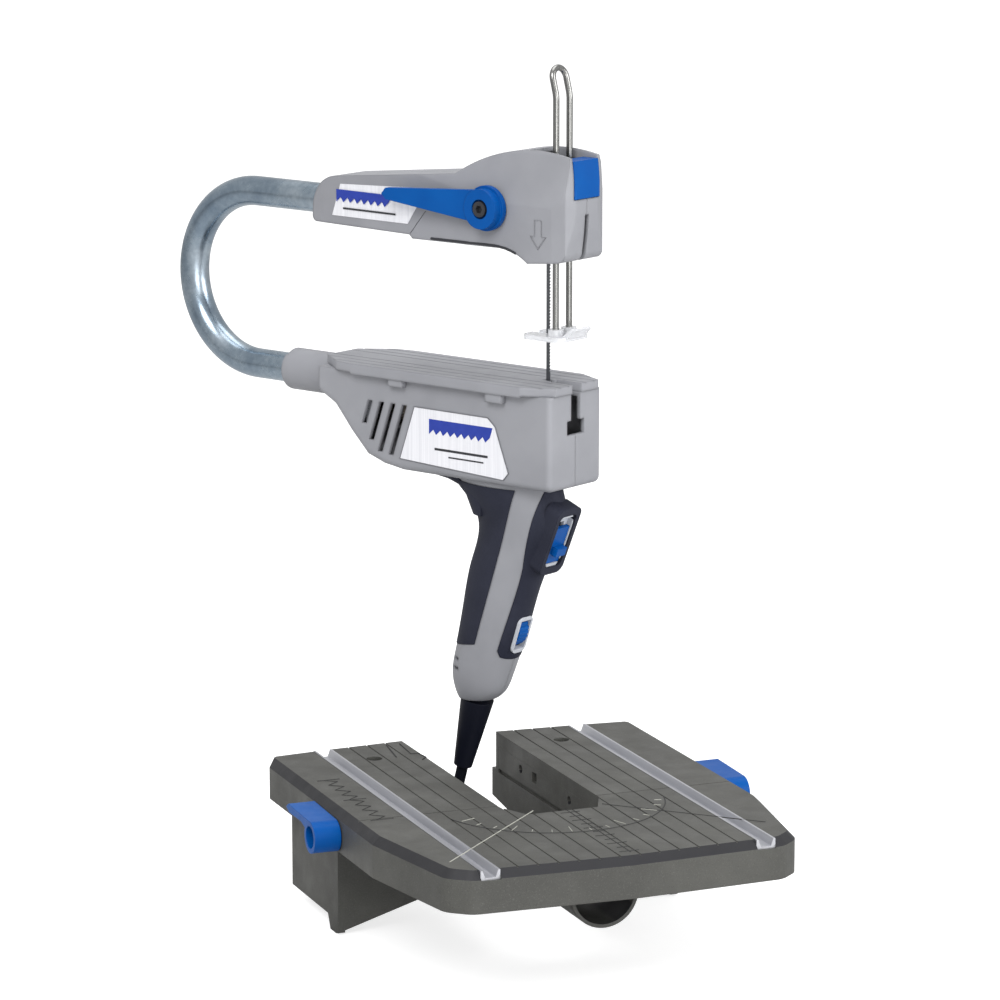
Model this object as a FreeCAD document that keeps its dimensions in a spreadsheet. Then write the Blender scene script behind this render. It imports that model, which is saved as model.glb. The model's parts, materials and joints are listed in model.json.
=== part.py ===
import FreeCAD, Part
import math
import os
import re

import Sketcher
from FreeCAD import Placement, Rotation, Vector

# Compact hand-held scroll saw, lifted clear of its scroll table.
# Two working frames, both in millimetres with +Z up:
#   table frame: origin on the table's top face, on its centre line, at the crosswise line;
#   saw frame: origin on the deck's top face at the blade, -Y towards the user.

SIZES = [
    # scroll table
    ("table_half", 113, "table half width at the skirt"),
    ("table_front", 118, "centre line to front edge"),
    ("table_back", 151, "centre line to back edge at the bay"),
    ("table_depth", 22.5, "skirt height"),
    ("corner_radius", 12, "rounding of the table's front corners"),
    ("plate_depth", 8, "top plate thickness"),
    ("skirt_wall", 3, "skirt wall"),
    ("edge_bevel", 4.4, "bevel round the top face"),
    ("bay_half", 29, "half width of the bay that takes the saw"),
    ("rail_offset", 78, "centre line to slot rail"),
    ("rail_width", 11, "slot rail width"),
    ("rail_depth", 5, "slot rail height"),
    ("rail_slot", 8.6, "width of the mitre slot at its mouth"),
    ("groove_pitch", 11.3, "spacing of the lengthwise grooves"),
    ("groove_width", 0.9, "width of a groove"),
    ("groove_depth", 0.6, "depth of a groove"),
    ("clamp_offset", 57, "centre line to clamp hole"),
    ("clamp_back", 118, "crosswise line to clamp holes"),
    ("clamp_bore", 9, "clamp hole diameter"),
    ("stand_depth", 80, "top face to the bench"),
    ("leg_step", 8, "height of the lip at the front of each leg"),
    ("leg_offset", 98, "centre line to leg plate"),
    ("leg_wall", 4, "leg and gusset wall"),
    ("bay_wall", 4, "bay side wall"),
    ("scoop_half", 19.5, "half width of the dust scoop"),
    ("scoop_wall", 2, "dust scoop wall"),
    ("foot_diameter", 12, "rubber rear foot"),
    ("lock_bore", 12.4, "recess in the lock lever's hub"),
    ("lock_hub", 17.6, "lock lever hub diameter"),
    ("lock_shaft", 9.8, "lock shaft diameter"),
    ("lock_back", 24, "crosswise line to lock shaft"),
    ("lock_drop", 13.5, "top face to lock shaft axis"),
    ("lock_width", 15, "lock lever width"),
    # saw: frame tube, deck and housings
    ("tube_diameter", 17, "C tube outside diameter"),
    ("tube_bore", 13, "C tube inside diameter"),
    ("tube_top", 87, "upper run of the tube above the deck"),
    ("tube_low", 13.6, "lower run of the tube below the deck"),
    ("tube_bend_centre", 214, "blade to the centre of the tube's bend"),
    ("deck_half", 28, "deck half width"),
    ("deck_rear", 150, "blade to rear end of the deck"),
    ("deck_nose", 20, "blade to front edge of the deck"),
    ("deck_depth", 5, "deck thickness"),
    ("deck_lip", 6, "depth of the side lip below the deck's top"),
    ("body_half", 23, "lower housing half width"),
    ("body_depth", 58, "deck top to the underside of the lower housing"),
    ("shell_wall", 2.5, "housing wall"),
    ("collar_diameter", 24, "collar round the tube"),
    ("collar_end", 188, "blade to the collar's rear end"),
    ("label_depth", 0.4, "label thickness"),
    ("grip_wall", 2.5, "rubber grip thickness"),
    ("grip_proud", 0.4, "rubber grip above the plastic"),
    # moving train
    ("rod_diameter", 5, "plunger rod diameter"),
    ("running_gap", 0.05, "radial clearance of a running fit"),
    ("easy_gap", 0.4, "clearance round a loose moving piece"),
    ("throw", 4, "crank throw, half the blade stroke"),
    ("motor_drop", 24, "deck top to motor axis"),
    ("gear_module", 0.7, "module of the reduction gears"),
    ("pinion_teeth", 10, "teeth of the motor pinion"),
    ("crank_teeth", 30, "teeth of the crank gear"),
    ("gear_width", 5, "width of the gear teeth"),
    ("shaft_diameter", 4, "motor shaft and gear pin diameter"),
    ("stator_diameter", 31, "motor can outside diameter"),
    ("rotor_diameter", 19.6, "rotor core diameter"),
    ("blade_width", 2.5, "blade from teeth to back"),
    ("blade_thick", 0.5, "blade thickness"),
    ("blade_top", 88, "deck top to the blade's upper pin"),
    ("blade_low", 24, "deck top down to the blade's lower pin"),
    # arm and head
    ("head_half", 18, "head half width"),
    ("lever_back", 27, "blade to the tension lever's pivot"),
    ("lever_high", 95, "deck top to the tension lever's pivot"),
    ("lever_flange", 25, "tension lever flange diameter"),
    ("lever_hub", 22, "tension lever hub diameter"),
    ("lever_reach", 71, "pivot to the lever's tip"),
    ("rod_gauge", 3.5, "guard rod diameter"),
    ("rod_spread", 11.7, "guard rod spacing"),
    ("rod_front", 9.7, "blade to the guard rods"),
    ("rod_foot", 25, "deck top to the underside of the hold-down foot"),
    ("rod_top", 174, "deck top to the top of the rod loop"),
    ("button_half", 10.8, "release button half width"),
    # handle controls
    ("bezel_width", 14.4, "switch bezel width"),
    ("bezel_length", 33, "switch bezel length"),
    ("slider_width", 11.4, "switch slider width"),
    ("slider_travel", 6, "switch slider travel"),
    ("dial_diameter", 21, "speed dial diameter"),
    ("dial_width", 8, "speed dial width"),
    ("relief_length", 42, "strain relief length outside the handle"),
    ("relief_large", 19, "strain relief diameter at the handle"),
    ("relief_small", 10.6, "strain relief diameter at its tip"),
    ("cord_diameter", 6.5, "mains cord diameter"),
]

SAW_TURN = 29.24            # degrees that the saw is turned on the vertical
SAW_PLACE = Vector(27.6, 67.4, 219.2)

doc = FreeCAD.newDocument("scroll_saw")
sheet = doc.addObject("Spreadsheet::Sheet", "Sizes")
for row, (alias, number, meaning) in enumerate(SIZES, 1):
    sheet.set(f"A{row}", meaning)
    sheet.set(f"B{row}", str(number))
    sheet.setAlias(f"B{row}", alias)
doc.recompute()
ALIASES = {alias for alias, _, _ in SIZES}

TABLE = Placement()
SAW = Placement(SAW_PLACE, Rotation(Vector(0, 0, 1), SAW_TURN))
nodes = []


# ---------------------------------------------------------------- helpers

def size(alias):
    """Number held in the sheet under this alias."""
    return float(sheet.get(alias))


def bind(expression):
    """Expression text with each alias pointing at the sheet."""
    return re.sub(r"[a-z_]+", lambda m: "Sizes." + m.group() if m.group() in ALIASES else m.group(),
                  str(expression))


def keep(label, piece, frame, local=None):
    """Name a finished sub-part and put it in its frame."""
    piece.Label = label
    piece.Placement = frame.multiply(local) if local else frame
    nodes.append(piece)
    return piece


def plain(label, shape, frame, local=None):
    """Sub-part whose shape is made by Part's own functions."""
    piece = doc.addObject("Part::Feature", label)
    piece.Shape = shape.removeSplitter() if shape.ShapeType != "Compound" else shape
    return keep(label, piece, frame, local)


def new_body(label):
    return doc.addObject("PartDesign::Body", label)


def attach(body, sketch, role, rise):
    """Lay a sketch on one of its body's own planes, moved along the plane's normal."""
    support = next(f for f in body.Origin.OriginFeatures if f.Role == role)
    sketch.AttachmentSupport = (support, [""])
    sketch.MapMode = "FlatFace"
    sketch.setExpression("AttachmentOffset.Base.z", bind(rise))


def pin_point(sketch, geometry, vertex, x, y):
    """Fix a point at expressions x, y from the sketch's origin."""
    now = sketch.getPoint(geometry, vertex)
    for kind, expression, start in (("DistanceX", x, now.x), ("DistanceY", y, now.y)):
        number = sketch.addConstraint(Sketcher.Constraint(kind, -1, 1, geometry, vertex, start))
        sketch.setExpression(f"Constraints[{number}]", bind(expression))


def outline(body, name, role, rise, *loops):
    """Sketch of closed loops, each a list of corners given as pairs of expressions."""
    sketch = body.newObject("Sketcher::SketchObject", name)
    attach(body, sketch, role, rise)
    for corners in loops:
        first, count = sketch.GeometryCount, len(corners)
        turn = [2 * math.pi * i / count for i in range(count)]
        ring = [Vector(10 * math.cos(a), 10 * math.sin(a), 0) for a in turn]
        for i in range(count):
            sketch.addGeometry(Part.LineSegment(ring[i], ring[(i + 1) % count]))
        for i in range(count):
            sketch.addConstraint(
                Sketcher.Constraint("Coincident", first + i, 2, first + (i + 1) % count, 1))
        for i, (x, y) in enumerate(corners):
            pin_point(sketch, first + i, 1, x, y)
    return sketch


def rounds(body, name, role, rise, *circles):
    """Sketch of circles, each a triple of expressions: centre x, centre y, diameter."""
    sketch = body.newObject("Sketcher::SketchObject", name)
    attach(body, sketch, role, rise)
    for x, y, diameter in circles:
        number = sketch.addGeometry(Part.Circle(Vector(), Vector(0, 0, 1), 3))
        pin_point(sketch, number, 3, x, y)
        across = sketch.addConstraint(Sketcher.Constraint("Diameter", number, 6.0))
        sketch.setExpression(f"Constraints[{across}]", bind(diameter))
    return sketch


def pad(body, name, sketch, length, back=False, both=False):
    """Raise a sketch: back points against its plane's normal, both is half each way."""
    feature = body.newObject("PartDesign::Pad", name)
    feature.Profile = sketch
    feature.setExpression("Length", bind(length))
    feature.Reversed = back
    feature.SideType = "Symmetric" if both else "One side"
    return feature


def pocket(body, name, sketch, length, back=False, both=False):
    """Cut a sketch away: it runs against its plane's normal unless back is set."""
    feature = body.newObject("PartDesign::Pocket", name)
    feature.Profile = sketch
    feature.setExpression("Length", bind(length))
    feature.Reversed = back
    feature.SideType = "Symmetric" if both else "One side"
    return feature


def round_corners(body, name, base, radius, chosen):
    """Fillet on those edges of the body's newest feature that the test picks."""
    feature = body.newObject("PartDesign::Fillet", name)
    feature.Base = (base, [f"Edge{i}" for i, e in enumerate(base.Shape.Edges, 1) if chosen(e)])
    feature.setExpression("Radius", bind(radius))
    doc.recompute()
    return feature


def box_loop(x0, y0, x1, y1):
    return [(x0, y0), (x1, y0), (x1, y1), (x0, y1)]


def mirrored(half):
    """Whole outline from the corners of its +X half, listed front to back."""
    return half + [(f"-({x})", y) for x, y in reversed(half) if str(x) != "0"]


def block(x0, x1, y0, y1, z0, z1):
    return Part.makeBox(x1 - x0, y1 - y0, z1 - z0, Vector(x0, y0, z0))


def rod(x, y, z, radius, length, axis):
    return Part.makeCylinder(radius, length, Vector(x, y, z), Vector(*axis))


def side_prism(corners, x0, x1):
    """Solid between two X values with a (y, z) outline."""
    wire = Part.makePolygon([Vector(x0, y, z) for y, z in corners + corners[:1]])
    return Part.Face(wire).extrude(Vector(x1 - x0, 0, 0))


def round_edges(shape, radius, chosen):
    edges = [e for e in shape.Edges if chosen(e)]
    return shape.makeFillet(radius, edges) if edges else shape


def route(points):
    """Straight runs joined by tangent arcs, as large as the shorter run allows."""
    edges, radii, start = [], [], points[0]
    for i in range(1, len(points) - 1):
        corner = points[i]
        before, after = points[i - 1] - corner, points[i + 1] - corner
        turn = math.pi - before.getAngle(after)
        reach = 0.45 * min(before.Length, after.Length)
        radii.append(reach / math.tan(turn / 2))
        before.normalize()
        after.normalize()
        middle_way = before + after
        middle_way.normalize()
        enter, leave = corner + before * reach, corner + after * reach
        middle = corner + middle_way * radii[-1] * (1 / math.cos(turn / 2) - 1)
        edges += [Part.makeLine(start, enter), Part.Arc(enter, middle, leave).toShape()]
        start = leave
    edges.append(Part.makeLine(start, points[-1]))
    return Part.Wire(edges), radii


def sweep(points, radius):
    """Round bar along a route."""
    wire, radii = route(points)
    ahead = points[1] - points[0]
    section = Part.Wire(Part.Circle(points[0], ahead, radius).toShape())
    return wire.makePipeShell([section], True, False), wire.Length, radii


# ---------------------------------------------------------------- scroll table

def table_top():
    body = new_body("table_top")
    back_corner, front_side = "table_back-8", "-32"
    half = [("0", "-table_front"), ("table_half-25", "-table_front+4"), ("table_half-13", "-table_front+14"),
            ("table_half", front_side), ("table_half", "table_back-14"), ("table_half-6", back_corner),
            ("rail_offset", "table_back-5"), ("0", "table_back")]
    rim = outline(body, "rim", "XY_Plane", "0", mirrored(half))
    slab = pad(body, "slab", rim, "table_depth", back=True)
    doc.recompute()
    slab = round_corners(body, "corners", slab, "corner_radius",
                         lambda e: e.BoundBox.ZLength > 1 and e.CenterOfMass.y < size("table_back") / -4
                         and abs(e.CenterOfMass.x) > 1)
    bevel = body.newObject("PartDesign::Chamfer", "bevel")
    top_edges = [f"Edge{i}" for i, e in enumerate(slab.Shape.Edges, 1)
                 if e.BoundBox.ZMin > -0.01 and e.CenterOfMass.y < size("table_back") - 15]
    bevel.Base = (slab, top_edges)
    bevel.setExpression("Size", bind("edge_bevel"))
    wall = "skirt_wall"
    inner = [("0", f"-table_front+{wall}"), ("table_half-25", f"-table_front+4+{wall}"),
             ("table_half-13-" + wall, f"-table_front+14+{wall}"), (f"table_half-{wall}", front_side),
             (f"table_half-{wall}", f"table_back-14-{wall}"), (f"table_half-6-{wall}", f"{back_corner}-{wall}"),
             ("rail_offset", f"table_back-5-{wall}"), ("bay_half-1", f"table_back-3-{wall}"),
             ("bay_half-1", "-2"), ("bay_half+bay_wall", "-2"), ("22+bay_wall", "-22-bay_wall")]
    hollow = outline(body, "hollow", "XY_Plane", "-table_depth", mirrored(inner))
    pocket(body, "underside", hollow, "table_depth-plate_depth", back=True)
    bay = outline(body, "bay_outline", "XY_Plane", "0",
                  [("20.5", "-21.5"), ("bay_half", "-3"), ("bay_half", "table_back+5"),
                   ("-bay_half", "table_back+5"), ("-bay_half", "-3"), ("-20.5", "-21.5")])
    pocket(body, "bay", bay, "table_depth")
    edge = "rail_offset+rail_width/2"
    near = "rail_offset-rail_width/2"
    seats = outline(body, "rail_seats", "XY_Plane", "0",
                    box_loop(near, "-table_front-5", edge, "table_back+5"),
                    box_loop(f"-({edge})", "-table_front-5", f"-({near})", "table_back+5"))
    pocket(body, "rail_seat", seats, "rail_depth")
    lines = []
    for i in range(6):
        for sign in ("", "-"):
            x = f"{sign}{i + 0.5}*groove_pitch"
            lines.append(box_loop(f"{x}-groove_width/2", "-table_front-5", f"{x}+groove_width/2", "table_back+5"))
    grooves = outline(body, "groove_lines", "XY_Plane", "0", *lines)
    pocket(body, "grooves", grooves, "groove_depth")
    cross = outline(body, "cross_line", "XY_Plane", "0",
                    box_loop("-table_half", "-groove_width/2", "table_half", "groove_width/2"))
    pocket(body, "crosswise_line", cross, "groove_depth")
    clamps = rounds(body, "clamp_centres", "XY_Plane", "0",
                    ("clamp_offset", "clamp_back", "clamp_bore"), ("-clamp_offset", "clamp_back", "clamp_bore"))
    pocket(body, "clamp_holes", clamps, "table_depth")
    shaft = rounds(body, "lock_holes", "YZ_Plane", "0",
                   ("lock_back", "-lock_drop", "lock_shaft+2*easy_gap"))
    pocket(body, "lock_bores", shaft, "2*table_half+5", both=True)
    keep("table_top", body, TABLE)


def slot_rails():
    for side, sign in (("left", "-"), ("right", "")):
        body = new_body(f"slot_rail_{side}")
        x, wide, mouth, base = f"{sign}rail_offset", "rail_width/2-0.05", "rail_slot/2", "rail_slot/2-1.4"
        section = [(f"{x}-({wide})", "-rail_depth+0.02"), (f"{x}+{wide}", "-rail_depth+0.02"), (f"{x}+{wide}", "0.2"),
                   (f"{x}+{mouth}", "0.2"), (f"{x}+{base}", "-rail_depth+1.2"), (f"{x}-({base})", "-rail_depth+1.2"),
                   (f"{x}-{mouth}", "0.2"), (f"{x}-({wide})", "0.2")]
        sketch = outline(body, f"section_{side}", "XZ_Plane", "-table_back+5", section)
        pad(body, f"rail_{side}", sketch, "table_back-5+table_front-5")
        keep(f"slot_rail_{side}", body, TABLE)


def bay_walls():
    for side, sign in (("left", -1), ("right", 1)):
        body = new_body(f"bay_wall_{side}")
        rise = "bay_half" if sign > 0 else "-bay_half-bay_wall"
        face = outline(body, f"bay_face_{side}", "YZ_Plane", rise,
                       [("-2", "-plate_depth"), ("-2", "-stand_depth+26"), ("56", "-stand_depth+25"),
                        ("100", "-stand_depth+34"), ("table_back+4", "-stand_depth+41"),
                        ("table_back+4", "-table_depth"), ("table_back-3.4-skirt_wall", "-table_depth"),
                        ("table_back-3.4-skirt_wall", "-plate_depth")])
        pad(body, f"wall_{side}", face, "bay_wall")
        holes = rounds(body, f"bay_holes_{side}", "YZ_Plane", rise,
                       ("111", "-plate_depth-5", "5"), ("39", "-plate_depth-5", "5"),
                       ("lock_back", "-lock_drop-6", "7"))
        pocket(body, f"bay_bores_{side}", holes, "2*bay_wall+2", both=True)
        window = outline(body, f"window_{side}", "YZ_Plane", rise,
                         box_loop("87", "-plate_depth-8", "94", "-plate_depth-2"))
        pocket(body, f"window_cut_{side}", window, "2*bay_wall+2", both=True)
        inner_face = "bay_half" if sign > 0 else "-bay_half"
        groove = outline(body, f"saw_groove_{side}", "YZ_Plane", inner_face,
                         box_loop("-1", "-plate_depth-15.5", "table_back-6", "-plate_depth-13"))
        pocket(body, f"saw_groove_cut_{side}", groove, "1.5", back=sign > 0)
        keep(f"bay_wall_{side}", body, TABLE)


def legs():
    """Side plate with its front lip, the lateral gusset to the bay wall and the rear foot's ledge."""
    for side, sign in (("left", "-"), ("right", "")):
        body = new_body(f"leg_{side}")
        rise = "leg_offset" if sign == "" else "-leg_offset-leg_wall"
        plate = outline(body, f"leg_face_{side}", "YZ_Plane", rise,
                        [("54", "-plate_depth"), ("54", "-stand_depth+1"), ("58", "-stand_depth"),
                         ("67", "-stand_depth"), ("71", "-stand_depth+leg_step"),
                         ("131", "-stand_depth+leg_step"), ("131", "-plate_depth")])
        pad(body, f"leg_plate_{side}", plate, "leg_wall")
        gusset = outline(body, f"gusset_{side}", "XZ_Plane", "-54-leg_wall",
                         [(f"{sign}(bay_half+bay_wall)", "-plate_depth"),
                          (f"{sign}(bay_half+bay_wall)", "-stand_depth+25"), (f"{sign}52", "-stand_depth+16"),
                          (f"{sign}(leg_offset+leg_wall)", "-stand_depth+1"),
                          (f"{sign}(leg_offset+leg_wall)", "-plate_depth")])
        pad(body, f"gusset_wall_{side}", gusset, "leg_wall")
        ledge = outline(body, f"ledge_{side}", "XY_Plane", "-stand_depth+leg_step",
                        box_loop(f"{sign}(leg_offset+1)", "113", f"{sign}(leg_offset-22)", "131"))
        pad(body, f"foot_ledge_{side}", ledge, "6")
        keep(f"leg_{side}", body, TABLE)


def rear_feet():
    pads = []
    for number, sign in enumerate(("", "-")):
        foot = doc.addObject("Part::Cylinder", f"foot_{number}")
        foot.setExpression("Radius", bind("foot_diameter/2"))
        foot.setExpression("Height", bind("leg_step"))
        foot.setExpression("Placement.Base.x", bind(f"{sign}(leg_offset-14)"))
        foot.setExpression("Placement.Base.y", "122")
        foot.setExpression("Placement.Base.z", bind("-stand_depth"))
        pads.append(foot)
    group = doc.addObject("Part::Compound", "rear_feet")
    group.Links = pads
    keep("rear_feet", group, TABLE)


def dust_scoop():
    body = new_body("dust_scoop")
    outer, wall = "2*scoop_half", "scoop_wall"
    drop = "-plate_depth-21.5"
    sides = outline(body, "scoop_sides", "XZ_Plane", "26",
                    box_loop("-scoop_half", drop, "scoop_half", "-plate_depth"))
    pad(body, "scoop_block", sides, "54")
    belly = rounds(body, "scoop_belly", "XZ_Plane", "26", ("0", drop, outer))
    pad(body, "scoop_round", belly, "54")
    hollow = outline(body, "scoop_hollow", "XZ_Plane", "20",
                     box_loop(f"-scoop_half+{wall}", drop, f"scoop_half-{wall}", "-plate_depth+1"))
    pocket(body, "scoop_channel", hollow, "70", back=True)
    inner = rounds(body, "scoop_inside", "XZ_Plane", "20", ("0", drop, f"{outer}-2*{wall}"))
    pocket(body, "scoop_bore", inner, "70", back=True)
    keep("dust_scoop", body, TABLE)


def table_locks():
    for side, sign in (("left", -1), ("right", 1)):
        half, hub, drop, back = size("table_half"), size("lock_hub"), size("lock_drop"), size("lock_back")
        shaft_radius = size("lock_shaft") / 2
        inner = size("bay_half") + size("bay_wall") + 4
        shaft = rod(sign * inner, back, -drop, shaft_radius, half + 3 - inner, (sign, 0, 0))
        cam = rod(sign * (inner + 1), back, -drop - 0.5, shaft_radius + 0.4, 6, (sign, 0, 0))
        plain(f"lock_shaft_{side}", shaft.fuse(cam), TABLE)
        start, width = half + 0.5, size("lock_width")
        lever = rod(sign * start, back, -drop, hub / 2, width, (sign, 0, 0))
        tab_top = -drop + hub / 2
        tab = side_prism([(back, tab_top), (back + 35, tab_top + 1), (back + 39, tab_top - 1.5),
                          (back + 34, tab_top - 3.6), (back + 14, tab_top - 3.6), (back + 6, tab_top - 6)],
                         sign * start, sign * (start + width))
        lever = lever.fuse(tab)
        recess = rod(sign * (start + 6), back, -drop, size("lock_bore") / 2, width, (sign, 0, 0))
        seat = rod(sign * (start - 1), back, -drop, shaft_radius, 3.5, (sign, 0, 0))
        plain(f"lock_lever_{side}", lever.cut(recess).cut(seat), TABLE)


# ---------------------------------------------------------------- saw: frame tube and deck

def c_tube():
    body = new_body("c_tube")
    spine = body.newObject("Sketcher::SketchObject", "tube_spine")
    attach(body, spine, "YZ_Plane", "0")
    centre, top, low = size("tube_bend_centre"), size("tube_top"), -size("tube_low")
    middle, radius = (top + low) / 2, (top - low) / 2
    spine.addGeometry(Part.LineSegment(Vector(95, top, 0), Vector(centre, top, 0)))
    bend = Part.Circle(Vector(centre, middle, 0), Vector(0, 0, 1), radius)
    spine.addGeometry(Part.ArcOfCircle(bend, -math.pi / 2, math.pi / 2))
    spine.addGeometry(Part.LineSegment(Vector(centre, low, 0), Vector(125, low, 0)))
    pin_point(spine, 0, 1, "95", "tube_top")
    pin_point(spine, 0, 2, "tube_bend_centre", "tube_top")
    across = spine.addConstraint(Sketcher.Constraint("DistanceX", -1, 1, 1, 3, centre))
    spine.setExpression(f"Constraints[{across}]", bind("tube_bend_centre"))
    spine.addConstraint(Sketcher.Constraint("Coincident", 0, 2, 1, 2))
    spine.addConstraint(Sketcher.Constraint("Coincident", 1, 1, 2, 1))
    pin_point(spine, 2, 1, "tube_bend_centre", "-tube_low")
    pin_point(spine, 2, 2, "125", "-tube_low")
    ring = rounds(body, "tube_section", "XZ_Plane", "-95",
                  ("0", "tube_top", "tube_diameter"), ("0", "tube_top", "tube_bore"))
    pipe = body.newObject("PartDesign::AdditivePipe", "tube")
    pipe.Profile = ring
    pipe.Spine = spine
    keep("c_tube", body, SAW)


def deck_plate():
    body = new_body("deck_plate")
    half = [("deck_half-9", "-deck_nose"), ("deck_half", "-2"), ("deck_half", "120"),
            ("deck_half-2", "132"), ("13", "deck_rear")]
    rim = outline(body, "deck_rim", "XY_Plane", "0", mirrored(half))
    pad(body, "deck", rim, "deck_depth", back=True)
    lips = outline(body, "lip_lines", "XY_Plane", "0",
                   box_loop("body_half+easy_gap/2", "-2", "deck_half", "120"),
                   box_loop("-deck_half", "-2", "-body_half-easy_gap/2", "120"))
    pad(body, "lips", lips, "deck_lip", back=True)
    for number, (y0, y1, low) in enumerate(((82.7, 93.1, 10), (11.6, 23.2, 11))):
        tabs = outline(body, f"tab_lines_{number}", "XY_Plane", "-4",
                       box_loop("body_half+easy_gap/2", str(y0), "deck_half-1", str(y1)),
                       box_loop("-deck_half+1", str(y0), "-body_half-easy_gap/2", str(y1)))
        pad(body, f"tabs_{number}", tabs, f"{low - 4}", back=True)
    slot = outline(body, "blade_slot", "XY_Plane", "0", box_loop("-4", "-deck_nose-2", "4", "-3"))
    pocket(body, "blade_slot_cut", slot, "deck_depth+1")
    kerf = outline(body, "blade_kerf", "XY_Plane", "0", box_loop("-1.5", "-5", "1.5", "3"))
    pocket(body, "blade_kerf_cut", kerf, "deck_depth+1")
    lines = [box_loop(f"{x}-0.45", "-deck_nose-2", f"{x}+0.45", "deck_rear+2")
             for x in (-22.5, -15, -7.5, 7.5, 15, 22.5)]
    grooves = outline(body, "deck_lines", "XY_Plane", "0", *lines)
    pocket(body, "deck_grooves", grooves, "groove_depth")
    keep("deck_plate", body, SAW)


# ---------------------------------------------------------------- saw: lower housing and handle

# Stations down the handle: height, centre behind the blade, half depth, half width.
HANDLE_STATIONS = [(-50, 19, 34, 17), (-75, 19.4, 31, 16.5), (-90, 19.2, 27, 16), (-108, 27.5, 23.8, 16.5),
                   (-130, 34.5, 21.4, 17), (-158, 42.2, 19.6, 17), (-173, 46.5, 18, 16), (-187, 50, 11, 11)]


def handle_solid(grow, shorten=0.0):
    """Handle as a smooth loft of ellipses, grown by so much all round."""
    rings = []
    for height, back, deep, wide in HANDLE_STATIONS:
        if height == HANDLE_STATIONS[-1][0]:
            height += shorten
        ellipse = Part.Ellipse(Vector(0, back, height), deep + grow, wide + grow)
        ellipse.rotate(Placement(Vector(0, back, height), Rotation(Vector(0, 0, 1), 90), Vector(0, 0, 0)))
        ellipse.Center = Vector(0, back, height)
        rings.append(Part.Wire(ellipse.toShape()))
    return Part.makeLoft(rings, True, False)


def body_outline(inset):
    """Side outline of the lower housing behind its front face, inset all round."""
    nose, low = size("deck_nose") - 0.8 - inset, size("body_depth") - inset
    top = -size("deck_depth") - (inset if inset else 0)
    return [(-nose, top), (-nose, -low), (87, -low), (101 - inset * 0.3, -low + 2), (113 - inset * 0.6, -low + 6),
            (125 - inset * 0.8, -low + 18), (137 - inset, -low + 32), (148 - inset, -low + 38), (148 - inset, top)]


def housing_solid():
    half = size("body_half")
    shape = side_prism(body_outline(0), -half, half)
    shape = round_edges(shape, 4, lambda e: e.BoundBox.XLength < 0.01 and e.BoundBox.ZMax < -size("deck_depth") - 1)
    shape = round_edges(shape, 3, lambda e: e.BoundBox.YLength < 0.01 and e.BoundBox.XLength < 0.01
                        and e.CenterOfMass.y < 0)
    collar = rod(0, 120, -size("tube_low"), size("collar_diameter") / 2, size("collar_end") - 120, (0, 1, 0))
    collar = round_edges(collar, 3, lambda e: e.BoundBox.YMin > size("collar_end") - 1)
    collar = collar.common(block(-40, 40, 100, 250, -60, -size("deck_depth"))).fuse(
        rod(0, size("deck_rear") + 0.4, -size("tube_low"), size("collar_diameter") / 2,
            size("collar_end") - 3.4 - size("deck_rear"), (0, 1, 0)))
    return shape.fuse(collar).fuse(handle_solid(0))


def vent_slots(side):
    """Four leaning slots in the side wall, shorter towards the rear."""
    half = size("body_half")
    cuts = []
    for number, low in enumerate((-50, -49, -43, -34)):
        top, lean = -20.5, 0.346
        y = 82.5 + 8.4 * number
        drop = top - low
        slot = [(y, top), (y + 3.6, top), (y + 3.6 + lean * drop, low), (y + lean * drop, low)]
        cuts.append(side_prism(slot, side * (half - 4), side * (half + 1)))
    return cuts


def tilted(y, z, lean):
    """Local frame on the handle's front: +Z out of the handle, +Y up along it."""
    up = Vector(0, -math.sin(math.radians(lean)), math.cos(math.radians(lean)))
    out = Vector(0, -math.cos(math.radians(lean)), -math.sin(math.radians(lean)))
    return Placement(Vector(0, y, z), Rotation(Vector(1, 0, 0), up, out, "ZXY"))


SWITCH_FRAME = tilted(-7.6, -89, 22)
DIAL_FRAME = tilted(18.6, -146.3, 18.7)
DIAL_DEPTH = 9.0            # dial axis below the surface it shows through


def window(frame, width, length, depth, radius, rise=6):
    """Rounded block through the handle's front, centred on a tilted frame."""
    shape = block(-width / 2, width / 2, -length / 2, length / 2, -depth, rise)
    shape = round_edges(shape, radius, lambda e: e.BoundBox.ZLength > depth and e.BoundBox.XLength < 0.01)
    shape.Placement = frame
    return shape


REAR_GRIP_ZONE = [(11, -61), (24, -105), (38.8, -152), (55, -154.5), (90, -158), (90, -61)]
FRONT_GRIP_ZONE = [(-40, -61), (-4, -61), (8.5, -105), (26.6, -155), (26.2, -159), (20.4, -163), (14, -163), (-40, -163)]
# Stations of the rear grip's flare under the housing: height, rear reach, half width.
FLARE_STATIONS = [(-58, 86, 12), (-60.5, 84, 12.5), (-61.6, 72, 13.2), (-64, 62, 14), (-69, 55, 15), (-79, 49.5, 14.9)]


def grip_solid(zone):
    """Rubber skin over one zone of the handle."""
    skin = handle_solid(size("grip_proud")).cut(handle_solid(-size("grip_wall")))
    return skin.common(side_prism(zone, -40, 40))


def grip_flare():
    """Rubber that spreads from the rear grip along the housing's underside."""
    rings = []
    for height, reach, wide in FLARE_STATIONS:
        middle = (reach + HANDLE_STATIONS[1][1]) / 2
        ellipse = Part.Ellipse(Vector(0, 0, 0), reach - middle, wide)
        ring = Part.Wire(ellipse.toShape())
        ring.Placement = Placement(Vector(0, middle, height), Rotation(Vector(0, 0, 1), 90))
        rings.append(ring)
    flare = Part.makeLoft(rings, True, True)
    return flare.cut(handle_solid(size("grip_proud"))).common(block(-40, 40, 36, 90, -80, -58))


def switch_hood():
    """Rubber hood that stands round the switch."""
    return window(SWITCH_FRAME, size("bezel_width") + 6, size("bezel_length") + 9, 8, 5, rise=1.6)


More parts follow.
